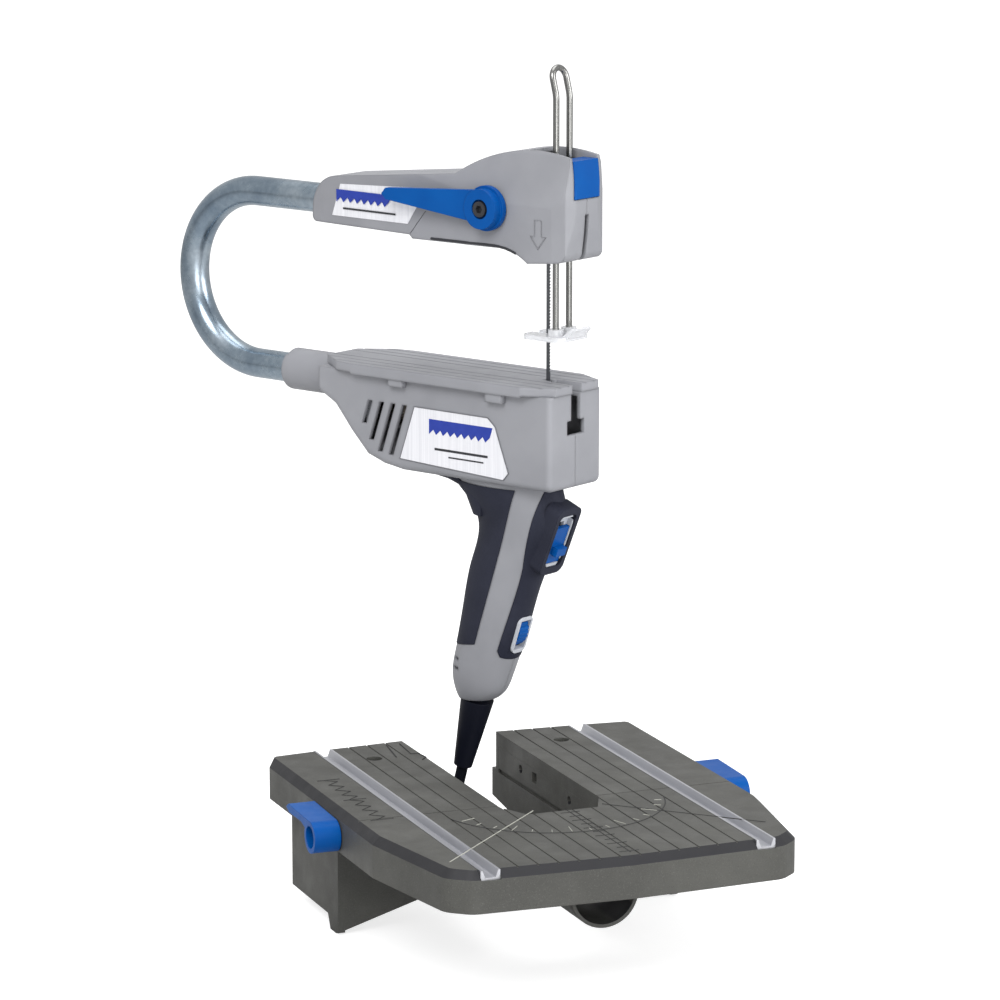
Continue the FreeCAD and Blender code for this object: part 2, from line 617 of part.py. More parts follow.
def lower_housing():
    wall, half = size("shell_wall"), size("body_half")
    outer = housing_solid()
    grips = [grip_solid(REAR_GRIP_ZONE), grip_solid(FRONT_GRIP_ZONE)]
    cavity = side_prism(body_outline(wall), -half + wall, half - wall)
    cavity = cavity.fuse(handle_solid(-size("grip_wall") - 2, 5).common(block(-40, 40, -60, 120, -183, -40)))
    tube = rod(0, 124, -size("tube_low"), size("tube_diameter") / 2, 80, (0, 1, 0))
    cuts = [cavity, tube] + grips
    cuts.append(block(-4, 4, -40, -10, -20, 0))
    cuts.append(block(-1.5, 1.5, -12, 3, -12, 0))
    cuts.append(block(-7.5, 7.5, -40, -10, -28, -20))
    cuts.append(window(SWITCH_FRAME, size("bezel_width"), size("bezel_length"), 12, 3))
    cuts.append(window(DIAL_FRAME, size("dial_width") + 4, size("dial_diameter") + 2, 9, 3.8))
    relief = rod(0, 51, -189, size("relief_small") / 2 + 0.5, 12, (0, -0.25, 1))
    cuts.append(relief)
    for number in range(2):
        cuts.append(block(-40, 40, 52, 90, -164 - 5.5 * number, -162 - 5.5 * number).cut(
            block(-9, 9, 40, 100, -200, -150)))
    for side in (-1, 1):
        cuts += vent_slots(side)
    shell = outer
    for cut in cuts:
        shell = shell.cut(cut)
    right = max(shell.common(block(0, 60, -60, 220, -220, 20)).Solids, key=lambda s: s.Volume)
    plain("lower_housing_right", right, SAW)
    plain("lower_housing_left", right.mirror(Vector(), Vector(1, 0, 0)), SAW)
    rear = grips[0].fuse(grip_flare())
    plain("rear_grip", max(rear.Solids, key=lambda s: s.Volume), SAW)
    hood = switch_hood().cut(handle_solid(0)).common(block(-40, 40, -40, 40, -150, -58.1))
    front = grips[1].fuse(hood).cut(window(SWITCH_FRAME, size("bezel_width"), size("bezel_length"), 12, 3))
    front = front.cut(window(DIAL_FRAME, size("dial_width") + 4, size("dial_diameter") + 2, 9, 3.8))
    plain("front_grip", max(front.Solids, key=lambda s: s.Volume), SAW)


SIDE_LABEL = [(76.8, -20.4), (24, -20.6), (18.8, -25), (9.4, -50), (13, -54.3), (87.4, -51)]


def side_labels():
    half, depth = size("body_half"), size("label_depth")
    plain("side_label_left", side_prism(SIDE_LABEL, -half - depth, -half), SAW)
    plain("side_label_right", side_prism(SIDE_LABEL, half, half + depth), SAW)


def handle_controls():
    body = new_body("switch_bezel")
    gap = "0.1"
    ring = outline(body, "bezel_outline", "XY_Plane", "0.6",
                   [("-bezel_width/2+3", f"-bezel_length/2+{gap}"), ("bezel_width/2-3", f"-bezel_length/2+{gap}"),
                    (f"bezel_width/2-{gap}", "-bezel_length/2+6"), (f"bezel_width/2-{gap}", "bezel_length/2-6"),
                    ("bezel_width/2-3", f"bezel_length/2-{gap}"), ("-bezel_width/2+3", f"bezel_length/2-{gap}"),
                    (f"-bezel_width/2+{gap}", "bezel_length/2-6"), (f"-bezel_width/2+{gap}", "-bezel_length/2+6")])
    pad(body, "bezel_block", ring, "5.1", back=True)
    hole = outline(body, "slider_slot", "XY_Plane", "0.6",
                   box_loop("-slider_width/2-0.3", "-bezel_length/2+2", "slider_width/2+0.3", "bezel_length/2-2"))
    pocket(body, "slider_opening", hole, "3")
    way = outline(body, "stem_way", "XY_Plane", "0.6",
                  box_loop("-3", "-bezel_length/2+6", "3", "bezel_length/2-6"))
    pocket(body, "stem_slot", way, "7")
    keep("switch_bezel", body, SAW, SWITCH_FRAME)

    slider = new_body("switch_slider")
    cap = outline(slider, "slider_cap", "XY_Plane", "-2.1",
                  box_loop("-slider_width/2", "-bezel_length/2+2.3", "slider_width/2",
                           "bezel_length/2-2.3-slider_travel"))
    pad(slider, "slider_plate", cap, "2.3")
    lug = outline(slider, "slider_lug", "XY_Plane", "0", box_loop("-slider_width/2+1.5", "-8", "slider_width/2-1.5", "-3"))
    pad(slider, "slider_thumb", lug, "4.2")
    stem = outline(slider, "slider_stem", "XY_Plane", "-2",
                   box_loop("-2.4", "-7", "2.4", "2"))
    pad(slider, "slider_post", stem, "5", back=True)
    keep("switch_slider", slider, SAW, SWITCH_FRAME)

    module = new_body("switch_module")
    case = outline(module, "module_case", "XY_Plane", "-8", box_loop("-7", "-12", "7", "12"))
    pad(module, "module_block", case, "11", back=True)
    keep("switch_module", module, SAW, SWITCH_FRAME)

    dial_radius, dial_half = size("dial_diameter") / 2, size("dial_width") / 2
    wheel = rod(-dial_half, 0, -DIAL_DEPTH, dial_radius, 2 * dial_half, (1, 0, 0))
    wheel = wheel.cut(rod(-dial_half - 1, 0, -DIAL_DEPTH, 1.5, 2 * dial_half + 2, (1, 0, 0)))
    for number in range(24):
        angle = 2 * math.pi * number / 24
        wheel = wheel.cut(rod(-dial_half - 1, dial_radius * math.cos(angle),
                              -DIAL_DEPTH + dial_radius * math.sin(angle), 0.5, 2 * dial_half + 2, (1, 0, 0)))
    plain("speed_dial", wheel, SAW, DIAL_FRAME)

    bezel_half, bezel_long = dial_half + 1.9, dial_radius + 0.9
    bezel = block(-bezel_half, bezel_half, -bezel_long, bezel_long, -3, 0.8)
    bezel = round_edges(bezel, 4, lambda e: e.BoundBox.ZLength > 3.7 and e.BoundBox.XLength < 0.01)
    opening = block(-dial_half - 0.4, dial_half + 0.4, -dial_radius + 1.5, dial_radius - 1.5, -5, 3)
    opening = opening.fuse(rod(-dial_half - 0.4, 0, -DIAL_DEPTH, dial_radius + 0.4, 2 * dial_half + 0.8, (1, 0, 0)))
    plain("dial_bezel", bezel.cut(opening), SAW, DIAL_FRAME)

    board = block(-9, 9, -12, 10, -DIAL_DEPTH - dial_radius - 4, -DIAL_DEPTH - dial_radius - 2.4)
    post = rod(-dial_half - 1.5, 0, -DIAL_DEPTH, 1.45, 2 * dial_half + 3, (1, 0, 0))
    cheeks = [block(x, x + 1.5, -2.5, 2.5, -DIAL_DEPTH - dial_radius - 3, -DIAL_DEPTH + 2.5)
              for x in (-dial_half - 2, dial_half + 0.5)]
    plain("speed_board", board.fuse(cheeks[0]).fuse(cheeks[1]).fuse(post), SAW, DIAL_FRAME)


def strain_relief():
    lean = Vector(0, math.sin(math.radians(14.8)), -math.cos(math.radians(14.8)))
    length = size("relief_length")
    start = Vector(0, 50.6, -188)
    cone = Part.makeCone(size("relief_large") / 2, size("relief_small") / 2, length, start, lean)
    neck = Part.makeCylinder(size("relief_small") / 2, 8, start - lean * 7, lean)
    shape = cone.cut(handle_solid(0.05)).fuse(neck)
    plain("strain_relief", max(shape.Solids, key=lambda s: s.Volume), SAW)
    return SAW.multVec(start + lean * length), SAW.Rotation.multVec(lean)


# ---------------------------------------------------------------- motor and blade drive

def gear(teeth, bore, width, phase):
    """Straight-cut gear on the Y axis, teeth given some backlash."""
    module = size("gear_module")
    pitch_radius = module * teeth / 2
    root, tip = pitch_radius - 1.25 * module, pitch_radius + 0.9 * module
    step = 360 / teeth
    points = []
    for number in range(teeth):
        middle = phase + number * step
        for radius, share in ((root, -0.31), (pitch_radius, -0.215), (tip, -0.1), (tip, 0.1),
                              (pitch_radius, 0.215), (root, 0.31)):
            angle = math.radians(middle + share * step)
            points.append(Vector(radius * math.cos(angle), 0, radius * math.sin(angle)))
    blank = Part.Face(Part.makePolygon(points + points[:1])).extrude(Vector(0, width, 0))
    return blank.cut(rod(0, -1, 0, bore / 2, width + 2, (0, 1, 0)))


def drive_train():
    wide, shaft = size("gear_width"), size("shaft_diameter")
    gap, module, throw = size("running_gap"), size("gear_module"), size("throw")
    axis = -size("motor_drop")
    centre = axis - module * (size("pinion_teeth") + size("crank_teeth")) / 2
    gear_front = 9.0

    wheel = gear(int(size("crank_teeth")), shaft + 2 * gap, wide, 90 + 180 / size("crank_teeth"))
    wheel.translate(Vector(0, gear_front, centre))
    crank_pin = rod(throw, 4.6, centre, 1.5, gear_front - 4.6, (0, 1, 0))
    plain("crank_gear", wheel.fuse(crank_pin), SAW)

    pinion = gear(int(size("pinion_teeth")), shaft, wide + 2, -90)
    pinion.translate(Vector(0, gear_front - 1, axis))
    spindle = rod(0, 8, axis, shaft / 2, 109, (0, 1, 0))
    core = rod(0, 54, axis, size("rotor_diameter") / 2, 32, (0, 1, 0))
    for number in range(10):
        angle = 2 * math.pi * number / 10
        reach = size("rotor_diameter") / 2
        core = core.cut(rod(reach * math.cos(angle), 53, axis + reach * math.sin(angle), 1.2, 34, (0, 1, 0)))
    commutator = rod(0, 89, axis, 5.5, 8, (0, 1, 0))
    fan = rod(0, 101, axis, 4.5, 6, (0, 1, 0)).fuse(rod(0, 101, axis, 13, 1.2, (0, 1, 0)))
    for number in range(9):
        vane = block(3, 13, 101, 107, -0.5, 0.5)
        vane.rotate(Vector(0, 0, 0), Vector(0, 1, 0), 40 * number)
        vane.translate(Vector(0, 0, axis))
        fan = fan.fuse(vane)
    armature = spindle
    for piece in (pinion, core, commutator, fan):
        armature = armature.fuse(piece)
    plain("motor_armature", armature, SAW)

    can = size("stator_diameter") / 2
    stator = rod(0, 48, axis, can, 50, (0, 1, 0)).cut(
        rod(0, 47, axis, size("rotor_diameter") / 2 + size("easy_gap"), 52, (0, 1, 0)))
    plain("motor_stator", stator, SAW)

    brushes = [block(x, x + 4, 90.5, 95.5, axis - 1.5, axis + 1.5) for x in (-9.6, 5.6)]
    plain("carbon_brushes", Part.makeCompound(brushes), SAW)

    bearings = []
    for y in (20.0, 109.5):
        ring = rod(0, y, axis, 6.5, 5, (0, 1, 0))
        bearings.append(ring.cut(rod(0, y - 1, axis, shaft / 2 + gap, 7, (0, 1, 0))))
    plain("shaft_bearings", Part.makeCompound(bearings), SAW)

    wall, half = size("shell_wall"), size("body_half")
    front_plate = block(-half + wall, half - wall, 18, 25, -size("body_depth") + wall + 0.1, -size("deck_depth") - wall)
    front_plate = front_plate.cut(rod(0, 19.9, axis, 6.5, 10, (0, 1, 0))).cut(rod(0, 10, axis, 5, 20, (0, 1, 0)))
    gear_pin = rod(0, gear_front, centre, shaft / 2, 12, (0, 1, 0))
    plain("gearbox_frame", front_plate.fuse(gear_pin), SAW)
    rear_plate = block(-half + wall, half - wall, 109.5, 114.5, -40, -size("deck_depth") - wall)
    rear_plate = rear_plate.cut(rod(0, 105, axis, 6.5, 12, (0, 1, 0)))
    plain("rear_bearing_plate", rear_plate, SAW)

    # Scotch yoke: its window stands clear of the crank pin's whole circle at any height of the stroke.
    radius = size("rod_diameter") / 2
    pin_reach = throw + 1.5
    high, wide_half = pin_reach + throw + 0.6, pin_reach + 0.6
    yoke = block(-wide_half - 2.5, wide_half + 2.5, 4.6, 7.6, centre - high - 2.2, centre + high + 2.2)
    yoke = yoke.cut(block(-wide_half, wide_half, 3, 9, centre - high, centre + high))
    stem = rod(0, 0, -51, radius, 51 - size("blade_low"), (0, 0, 1))
    clamp = block(-6, 6, -4, 4, -size("blade_low") - 4, -size("blade_low") + 4)
    slot_x, slot_y = size("blade_thick") / 2 + 0.05, size("blade_width") / 2 + 0.05
    bridge = block(-3, 3, 1.5, 7.6, centre + high, centre + high + 2.2)
    blade_slot = block(-slot_x, slot_x, -slot_y, slot_y, -size("blade_low") - 0.5, 0)
    plunger = stem.fuse(yoke).fuse(bridge).fuse(clamp).cut(blade_slot)
    plain("plunger", max(plunger.Solids, key=lambda s: s.Volume), SAW)

    guides = []
    for low in (-36.5, -46.0):
        bush = block(-9, 9, -8, 3.9, low, low + 3.5)
        guides.append(bush.cut(rod(0, 0, low - 1, radius + gap, 6, (0, 0, 1))))
    plain("plunger_guides", Part.makeCompound(guides), SAW)


def blade_and_clamps():
    thick, wide = size("blade_thick") / 2, size("blade_width") / 2
    low, top = -size("blade_low"), size("blade_top")
    strip = block(-thick, thick, -wide, wide, low - 0.4, top + 0.4)
    teeth = int((40 - 4) / 1.8)
    for number in range(teeth * 2):
        z = 4 + 0.9 + number * 1.8
        notch = [(-wide - 0.1, z), (-wide - 0.1, z + 1.3), (-wide + 0.7, z + 0.2)]
        strip = strip.cut(side_prism(notch, -thick - 1, thick + 1))
    plain("blade", strip, SAW)
    clamp = block(-6, 6, -4.5, 4.5, top - 4, top + 5)
    clamp = clamp.cut(block(-thick - 0.05, thick + 0.05, -wide - 0.05, wide + 0.05, top - 5, top + 0.5))
    stem = rod(0, 0, top + 5, 2.5, 16, (0, 0, 1))
    plain("upper_clamp", clamp.fuse(stem), SAW)
    guide_low, guide_depth = top + 11, 5
    guide = block(-12, 12, -4, 8, guide_low, guide_low + guide_depth)
    guide = guide.cut(rod(0, 0, guide_low - 1, 2.5 + size("running_gap"), guide_depth + 2, (0, 0, 1)))
    plain("clamp_guide", guide, SAW)


# ---------------------------------------------------------------- arm and head

# Outlines of the arm and head, each run two points or an arc through three.
ARM_SIDE = [
    [(-24.8, 125.3), (-26.6, 100), (-24.5, 74)], [(-24.5, 74), (-23, 70), (-19, 68.3)], [(-19, 68.3), (0.7, 66.5)],
    [(0.7, 66.5), (8.5, 71), (20, 73.4)], [(20, 73.4), (84, 72.6)], [(84, 72.6), (86.4, 74.7)],
    [(86.4, 74.7), (157, 75.6)], [(157, 75.6), (160, 76.6), (161, 79.5)], [(161, 79.5), (160.6, 86)],
    [(160.6, 86), (155.5, 96.5), (143, 102.8)], [(143, 102.8), (53.4, 111.5)],
    [(53.4, 111.5), (15, 126.5), (-24.8, 125.3)]]
ARM_PLAN_HALF = [[(16.5, -24.3), (18, -16)], [(18, -16), (18, 40)], [(18, 40), (17, 52)], [(17, 52), (13.3, 152)],
                 [(13.3, 152), (12, 163)]]
ARM_FRONT_HALF = [[(18.4, 60), (18.4, 96)], [(18.4, 96), (12.8, 126)], [(12.8, 126), (11, 132)]]


def both_sides(half, first):
    """Closed symmetric outline from its +X half; first is the run that crosses to it."""
    other = [[(-x, height) for x, height in reversed(run)] for run in reversed(half)]
    across = [half[-1][-1], (-half[-1][-1][0], half[-1][-1][1])]
    return [first] + half + [across] + other


ARM_PLAN = both_sides(ARM_PLAN_HALF, [(-16.5, -24.3), (0, -27.6), (16.5, -24.3)])
ARM_FRONT = both_sides(ARM_FRONT_HALF, [(-18.4, 60), (18.4, 60)])


def run_face(runs, place, grow):
    """Face inside an outline of runs, grown by so much all round."""
    edges = []
    for run in runs:
        points = [place(a, b) for a, b in run]
        edges.append(Part.Arc(*points).toShape() if len(points) == 3 else Part.makeLine(*points))
    face = Part.Face(Part.Wire(edges))
    return face.makeOffset2D(grow) if grow else face


def arm_solid(grow):
    """Arm and head where their side, plan and front outlines meet, grown by so much all round."""
    side = run_face(ARM_SIDE, lambda y, z: Vector(-30, y, z), grow).extrude(Vector(60, 0, 0))
    plan = run_face(ARM_PLAN, lambda x, y: Vector(x, y, 50), grow).extrude(Vector(0, 0, 100))
    front = run_face(ARM_FRONT, lambda x, z: Vector(x, -50, z), grow).extrude(Vector(0, 300, 0))
    return side.common(plan).common(front)


ARM_LABEL = [(138.4, 98.6), (73.2, 101.6), (87.4, 80.6), (144.8, 80.4)]


def arm_and_head():
    gap, spread = size("easy_gap"), size("rod_spread") / 2
    button, rods_at = size("button_half"), -size("rod_front")
    inner = arm_solid(-size("shell_wall"))
    shell = arm_solid(0).cut(inner)
    cuts = [rod(0, 140, size("tube_top"), size("tube_diameter") / 2, 50, (0, 1, 0))]
    cuts.append(block(-button - 0.2, button + 0.2, -40, -12.2, 102.6, 140))
    cuts.append(block(-button - 0.2, button + 0.2, -12.2, 4, 121, 140))
    cuts.append(block(-1.6, 1.6, -40, -18, 60, 94))
    cuts.append(block(-1.6, 1.6, -40, 5, 55, 72))
    for x in (-spread, spread):
        cuts.append(rod(x, rods_at, 55, size("rod_gauge") / 2 + 1, 20, (0, 0, 1)))
    cuts.append(block(-9, 9, 14, 83, 70, 79))
    pivot = (size("lever_back"), size("lever_high"))
    cuts.append(rod(-40, pivot[0], pivot[1], 5.1, 40, (1, 0, 0)))
    for cut in cuts:
        shell = shell.cut(cut)
    for side, region in (("left", block(-60, 0, -60, 220, 40, 140)), ("right", block(0, 60, -60, 220, 40, 140))):
        piece = shell.common(region)
        plain(f"arm_shell_{side}", max(piece.Solids, key=lambda s: s.Volume), SAW)
    skin = arm_solid(size("label_depth")).cut(arm_solid(0))
    left = skin.common(side_prism(ARM_LABEL, -40, -8))
    plain("arm_label_left", max(left.Solids, key=lambda s: s.Volume), SAW)
    right = skin.common(side_prism(ARM_LABEL, 8, 40))
    plain("arm_label_right", max(right.Solids, key=lambda s: s.Volume), SAW)

    liner = block(-8.8, 8.8, 14.2, 82.8, 76.4, 78.8)
    plain("arm_liner", liner, SAW)

    guide = block(-button, button, -12, 3.8, 116, 122.5)
    post = block(-10, 10, -5, 3.8, 108, 116)
    for x in (-spread, spread):
        hole = rod(x, rods_at, 100, size("rod_gauge") / 2 + size("running_gap"), 30, (0, 0, 1))
        guide = guide.cut(hole)
        post = post.cut(hole)
    post = post.cut(rod(0, 0, 100, 3.5, 30, (0, 0, 1)))
    guide = guide.cut(rod(0, 0, 100, 3.5, 20, (0, 0, 1)))
    plain("rod_guide", guide.fuse(post), SAW)

    cap = arm_solid(0.5).common(block(-button, button, -40, -15.4, 103, 123.6))
    plain("release_button", max(cap.Solids, key=lambda s: s.Volume), SAW)


def tension_lever():
    pivot_y, pivot_z = size("lever_back"), size("lever_high")
    outside = -size("head_half") - 0.9
    flange = rod(outside, pivot_y, pivot_z, size("lever_flange") / 2, 3, (-1, 0, 0))
    hub = rod(outside, pivot_y, pivot_z, size("lever_hub") / 2, 8, (-1, 0, 0))
    tip = pivot_y + size("lever_reach")
    arm = side_prism([(pivot_y, pivot_z - 8), (tip - 3, pivot_z - 0.2), (tip, pivot_z + 2.8), (tip - 3, pivot_z + 6.2),
                      (pivot_y, pivot_z + 10.4)], outside - 7.2, outside - 3.2)
    lever = flange.fuse(hub).fuse(arm)
    recess = rod(outside - 5, pivot_y, pivot_z, 5.4, 6, (-1, 0, 0))
    bore = rod(outside + 1, pivot_y, pivot_z, 2.5, 10, (-1, 0, 0))
    plain("tension_lever", lever.cut(recess).cut(bore), SAW)

    head = rod(outside - 5, pivot_y, pivot_z, 4.3, 3.4, (-1, 0, 0))
    hexagon = Part.Face(Part.makePolygon([
        Vector(outside - 8.5, pivot_y + 2.3 * math.cos(math.radians(60 * i)),
               pivot_z + 2.3 * math.sin(math.radians(60 * i))) for i in range(7)]))
    head = head.cut(hexagon.extrude(Vector(2.4, 0, 0)))
    shank = rod(outside, pivot_y, pivot_z, 2.5, 5.2, (-1, 0, 0))
    plain("lever_screw", head.fuse(shank), SAW)

    cam_shaft = rod(outside, pivot_y, pivot_z, 5, size("head_half") + 10, (1, 0, 0))
    cam = rod(-7, pivot_y, pivot_z - 2, 8.5, 12, (1, 0, 0))
    plain("lever_cam", cam_shaft.fuse(cam), SAW)


def guard():
    radius, spread, front = size("rod_gauge") / 2, size("rod_spread") / 2, -size("rod_front")
    top, lean = size("rod_top"), math.radians(14)
    back, up = math.sin(lean), math.cos(lean)
    bend_radius, straight = 20, 7
    crown = spread + radius
    bend_start = top - crown * up - straight * up - bend_radius * math.sin(lean)
    def side_edges(x):
        foot = Vector(x, front, size("rod_foot"))
        start = Vector(x, front, bend_start)
        half = lean / 2
        middle = Vector(x, front + bend_radius * (1 - math.cos(half)), bend_start + bend_radius * math.sin(half))
        end = Vector(x, front + bend_radius * (1 - up), bend_start + bend_radius * back)
        finish = end + Vector(0, back, up) * straight
        return foot, start, middle, end, finish
    left, right = side_edges(-spread), side_edges(spread)
    crest = (left[4] + right[4]) * 0.5 + Vector(0, back, up) * spread
    edges = [Part.makeLine(left[0], left[1]), Part.Arc(left[1], left[2], left[3]).toShape(),
             Part.makeLine(left[3], left[4]), Part.Arc(left[4], crest, right[4]).toShape(),
             Part.makeLine(right[4], right[3]), Part.Arc(right[3], right[2], right[1]).toShape(),
             Part.makeLine(right[1], right[0])]
    section = Part.Wire(Part.Circle(left[0], Vector(0, 0, 1), radius).toShape())
    plain("guard_rods", Part.Wire(edges).makePipeShell([section], True, False), SAW)

    low = size("rod_foot")
    sole = block(-14, 14, -19, 9, low - 1, low + 1.6)
    sole = round_edges(sole, 6, lambda e: e.BoundBox.ZLength > 2 and e.BoundBox.XLength < 0.01)
    toe = side_prism([(-18, low - 1), (-16, low + 1.6), (-22, low + 6.5), (-23.5, low + 5.5)], -8, 8)
    foot = sole.fuse(toe).cut(block(-3, 3, -4, 20, low - 5, low + 10))
    for x in (-spread, spread):
        foot = foot.fuse(rod(x, front, low, 4.2, 5, (0, 0, 1)))
    for x in (-spread, spread):
        foot = foot.cut(rod(x, front, low, radius, 30, (0, 0, 1)))
    plain("guard_foot", foot, SAW)


def housing_screws():
    """Recessed screw heads along the right shells."""
    half = size("body_half")
    places = [(-10, -50), (70, -13.5), (100, -13.5), (-10, -13.5)]
    heads = []
    for y, z in places:
        head = rod(half, y, z, 3, 1.6, (1, 0, 0))
        cross = block(half + 0.9, half + 3, y - 1.8, y + 1.8, z - 0.4, z + 0.4)
        cross = cross.fuse(block(half + 0.9, half + 3, y - 0.4, y + 0.4, z - 1.8, z + 1.8))
        heads.append(head.cut(cross))
    plain("housing_screws", Part.makeCompound(heads), SAW)


# ---------------------------------------------------------------- mains cord

COIL_CENTRE = Vector(8, 226, 0)
COIL_MEAN, COIL_HALF_WIDTH, COIL_HEIGHT = 37.8, 13.2, 13.4
PLUG_HALF_HEIGHT = 9.1


def mains_cord(exit_point, exit_way):
    floor = -size("stand_depth")
    radius = size("cord_diameter") / 2
    lie = floor + radius
    points = [exit_point, exit_point + exit_way * 20, Vector(-8.0, 136.5, -53), Vector(-14, 153, -70.5),
              Vector(-23, 173, lie), Vector(-33.5, 193, lie), Vector(-38.5, 211, lie), Vector(-38, 226, lie)]
    tube, length, radii = sweep(points, radius)
    print("cord runs", [round((b - a).Length, 1) for a, b in zip(points, points[1:])])
    print("cord radii", [round(r, 1) for r in radii], "length", round(length, 1),
          "volume share", round(tube.Volume / (length * math.pi * radius ** 2), 4))
    plain("power_cord", tube, TABLE)

    centre = COIL_CENTRE + Vector(0, 0, floor)
    outer = Part.makeCylinder(COIL_MEAN + COIL_HALF_WIDTH, COIL_HEIGHT, centre)
    ring = outer.cut(Part.makeCylinder(COIL_MEAN - COIL_HALF_WIDTH, COIL_HEIGHT, centre))
    plain("cord_coil", ring.makeFillet(3, [e for e in ring.Edges if e.Closed]), TABLE)

    seat = floor + PLUG_HALF_HEIGHT
    tail = [Vector(-38.5, 236, lie), Vector(-38, 252, lie), Vector(-29.5, 267, lie), Vector(-15, 279.5, lie + 1.5),
            Vector(1, 284.5, seat)]
    shape, length, radii = sweep(tail, radius)
    print("tail radii", [round(r, 1) for r in radii], "length", round(length, 1))
    plain("cord_tail", shape, TABLE)

    shape = Part.makeCone(4.6, 8.5, 12, Vector(0, 0, 0), Vector(1, 0, 0))
    high = PLUG_HALF_HEIGHT
    shape = shape.fuse(round_edges(block(12, 34, -9.3, 9.3, -high, high), 4, lambda e: e.BoundBox.XLength > 20))
    for y in (-6.3, 6.3):
        shape = shape.fuse(rod(34, y, 0, 0.9, 16, (1, 0, 0)).fuse(block(34, 50, y - 0.8, y + 0.8, -3, 3)))
    way = tail[-1] - tail[-2]
    heading = math.degrees(math.atan2(way.y, way.x))
    plain("mains_plug", shape, TABLE, Placement(tail[-1], Rotation(Vector(0, 0, 1), heading)))


CORD_NODES = ("power_cord", "cord_coil", "cord_tail", "mains_plug")


def stand_on_bench():
    """Move everything so that the origin is under the middle of the saw and table, at the bench."""
    firm = FreeCAD.BoundBox()
    for piece in nodes:
        if piece.Label not in CORD_NODES:
            firm.add(piece.Shape.BoundBox)
    shift = Placement(Vector(-firm.Center.x, -firm.Center.y, -firm.ZMin), Rotation())
    for piece in nodes:
        piece.Placement = shift.multiply(piece.Placement)
    doc.recompute()
    return shift


def check_document():
    for item in doc.Objects:
        for word in ("Invalid", "Error"):
            if word in item.State:
                raise RuntimeError(f"{item.Name} is {item.State}")
    broken = [piece.Label for piece in nodes
              if piece.Shape.isNull() or not piece.Shape.isValid() or not piece.Shape.Solids]
    if broken:
        raise RuntimeError(f"no valid solid in {broken}")


table_top()
slot_rails()
bay_walls()
legs()
rear_feet()
dust_scoop()
table_locks()
c_tube()
deck_plate()
lower_housing()
side_labels()
handle_controls()
cord_exit, cord_way = strain_relief()
drive_train()
blade_and_clamps()
arm_and_head()
tension_lever()
guard()
housing_screws()
mains_cord(cord_exit, cord_way)
doc.recompute()
check_document()
shift = stand_on_bench()
print("shift", shift.Base)
os.makedirs("parts", exist_ok=True)
for piece in nodes:
    piece.Shape.exportStep(f"parts/{piece.Label}.step")
print(len(nodes), "nodes")
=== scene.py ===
"""Compact scroll saw lifted clear of its scroll table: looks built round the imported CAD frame."""

import json
import math

import bpy
from bpy.props import FloatProperty, PointerProperty
from mathutils import Matrix, Vector


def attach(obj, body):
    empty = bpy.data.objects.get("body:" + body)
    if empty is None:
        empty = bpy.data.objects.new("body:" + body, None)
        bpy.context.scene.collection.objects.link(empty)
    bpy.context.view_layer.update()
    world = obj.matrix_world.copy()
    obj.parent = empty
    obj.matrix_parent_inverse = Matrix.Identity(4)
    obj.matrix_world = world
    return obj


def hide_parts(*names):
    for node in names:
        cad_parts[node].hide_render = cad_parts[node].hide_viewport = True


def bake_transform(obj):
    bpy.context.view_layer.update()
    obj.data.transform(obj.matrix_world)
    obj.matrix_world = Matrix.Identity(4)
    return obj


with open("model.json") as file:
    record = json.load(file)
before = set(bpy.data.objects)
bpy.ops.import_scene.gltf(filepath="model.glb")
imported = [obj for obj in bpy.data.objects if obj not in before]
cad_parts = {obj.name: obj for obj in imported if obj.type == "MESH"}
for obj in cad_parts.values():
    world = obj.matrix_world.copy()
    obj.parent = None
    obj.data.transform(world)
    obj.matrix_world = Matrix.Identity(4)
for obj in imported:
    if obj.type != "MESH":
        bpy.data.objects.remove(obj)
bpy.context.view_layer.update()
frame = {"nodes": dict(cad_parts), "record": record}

bl_info = {
    "name": "Scroll Saw Workshop",
    "version": (1, 0, 0),
    "blender": (4, 5, 0),
    "location": "View3D > Sidebar > Scroll Saw",
    "description": "Builds the finishes and fine pieces of a compact scroll saw and its table",
    "category": "Object",
}

MM = 0.001


# ---------------------------------------------------------------- frames

def table_origin():
    """Table frame's origin: on the top face, where the crosswise line meets the centre line."""
    clamp = next(m for m in frame["record"]["mounts"] if m["name"] == "clamp_holes")
    return Vector(clamp["pos_m"]) - Vector((0, 118 * MM, 0))


def saw_matrix():
    """Saw frame: origin on the deck at the blade, -Y towards the user."""
    crank = next(j for j in frame["record"]["behaviour"]["joints"] if j["name"] == "crank_spin")
    turn = Matrix.Rotation(math.atan2(-crank["axis"][0], crank["axis"][1]), 4, "Z")
    gear_seat = Vector((0, 9, -38)) * MM
    return Matrix.Translation(Vector(crank["pos_m"]) - turn @ gear_seat) @ turn


TABLE = Matrix.Translation(table_origin())
SAW = saw_matrix()


def on_table(x, y, z):
    return TABLE @ (Vector((x, y, z)) * MM)


def on_saw(x, y, z):
    return SAW @ (Vector((x, y, z)) * MM)


# ---------------------------------------------------------------- finishes

def colour(red, green, blue):
    """Display colour, 0 to 255, as the shader's linear colour."""
    def linear(value):
        value /= 255
        return value / 12.92 if value <= 0.04045 else ((value + 0.055) / 1.055) ** 2.4
    return (linear(red), linear(green), linear(blue), 1.0)


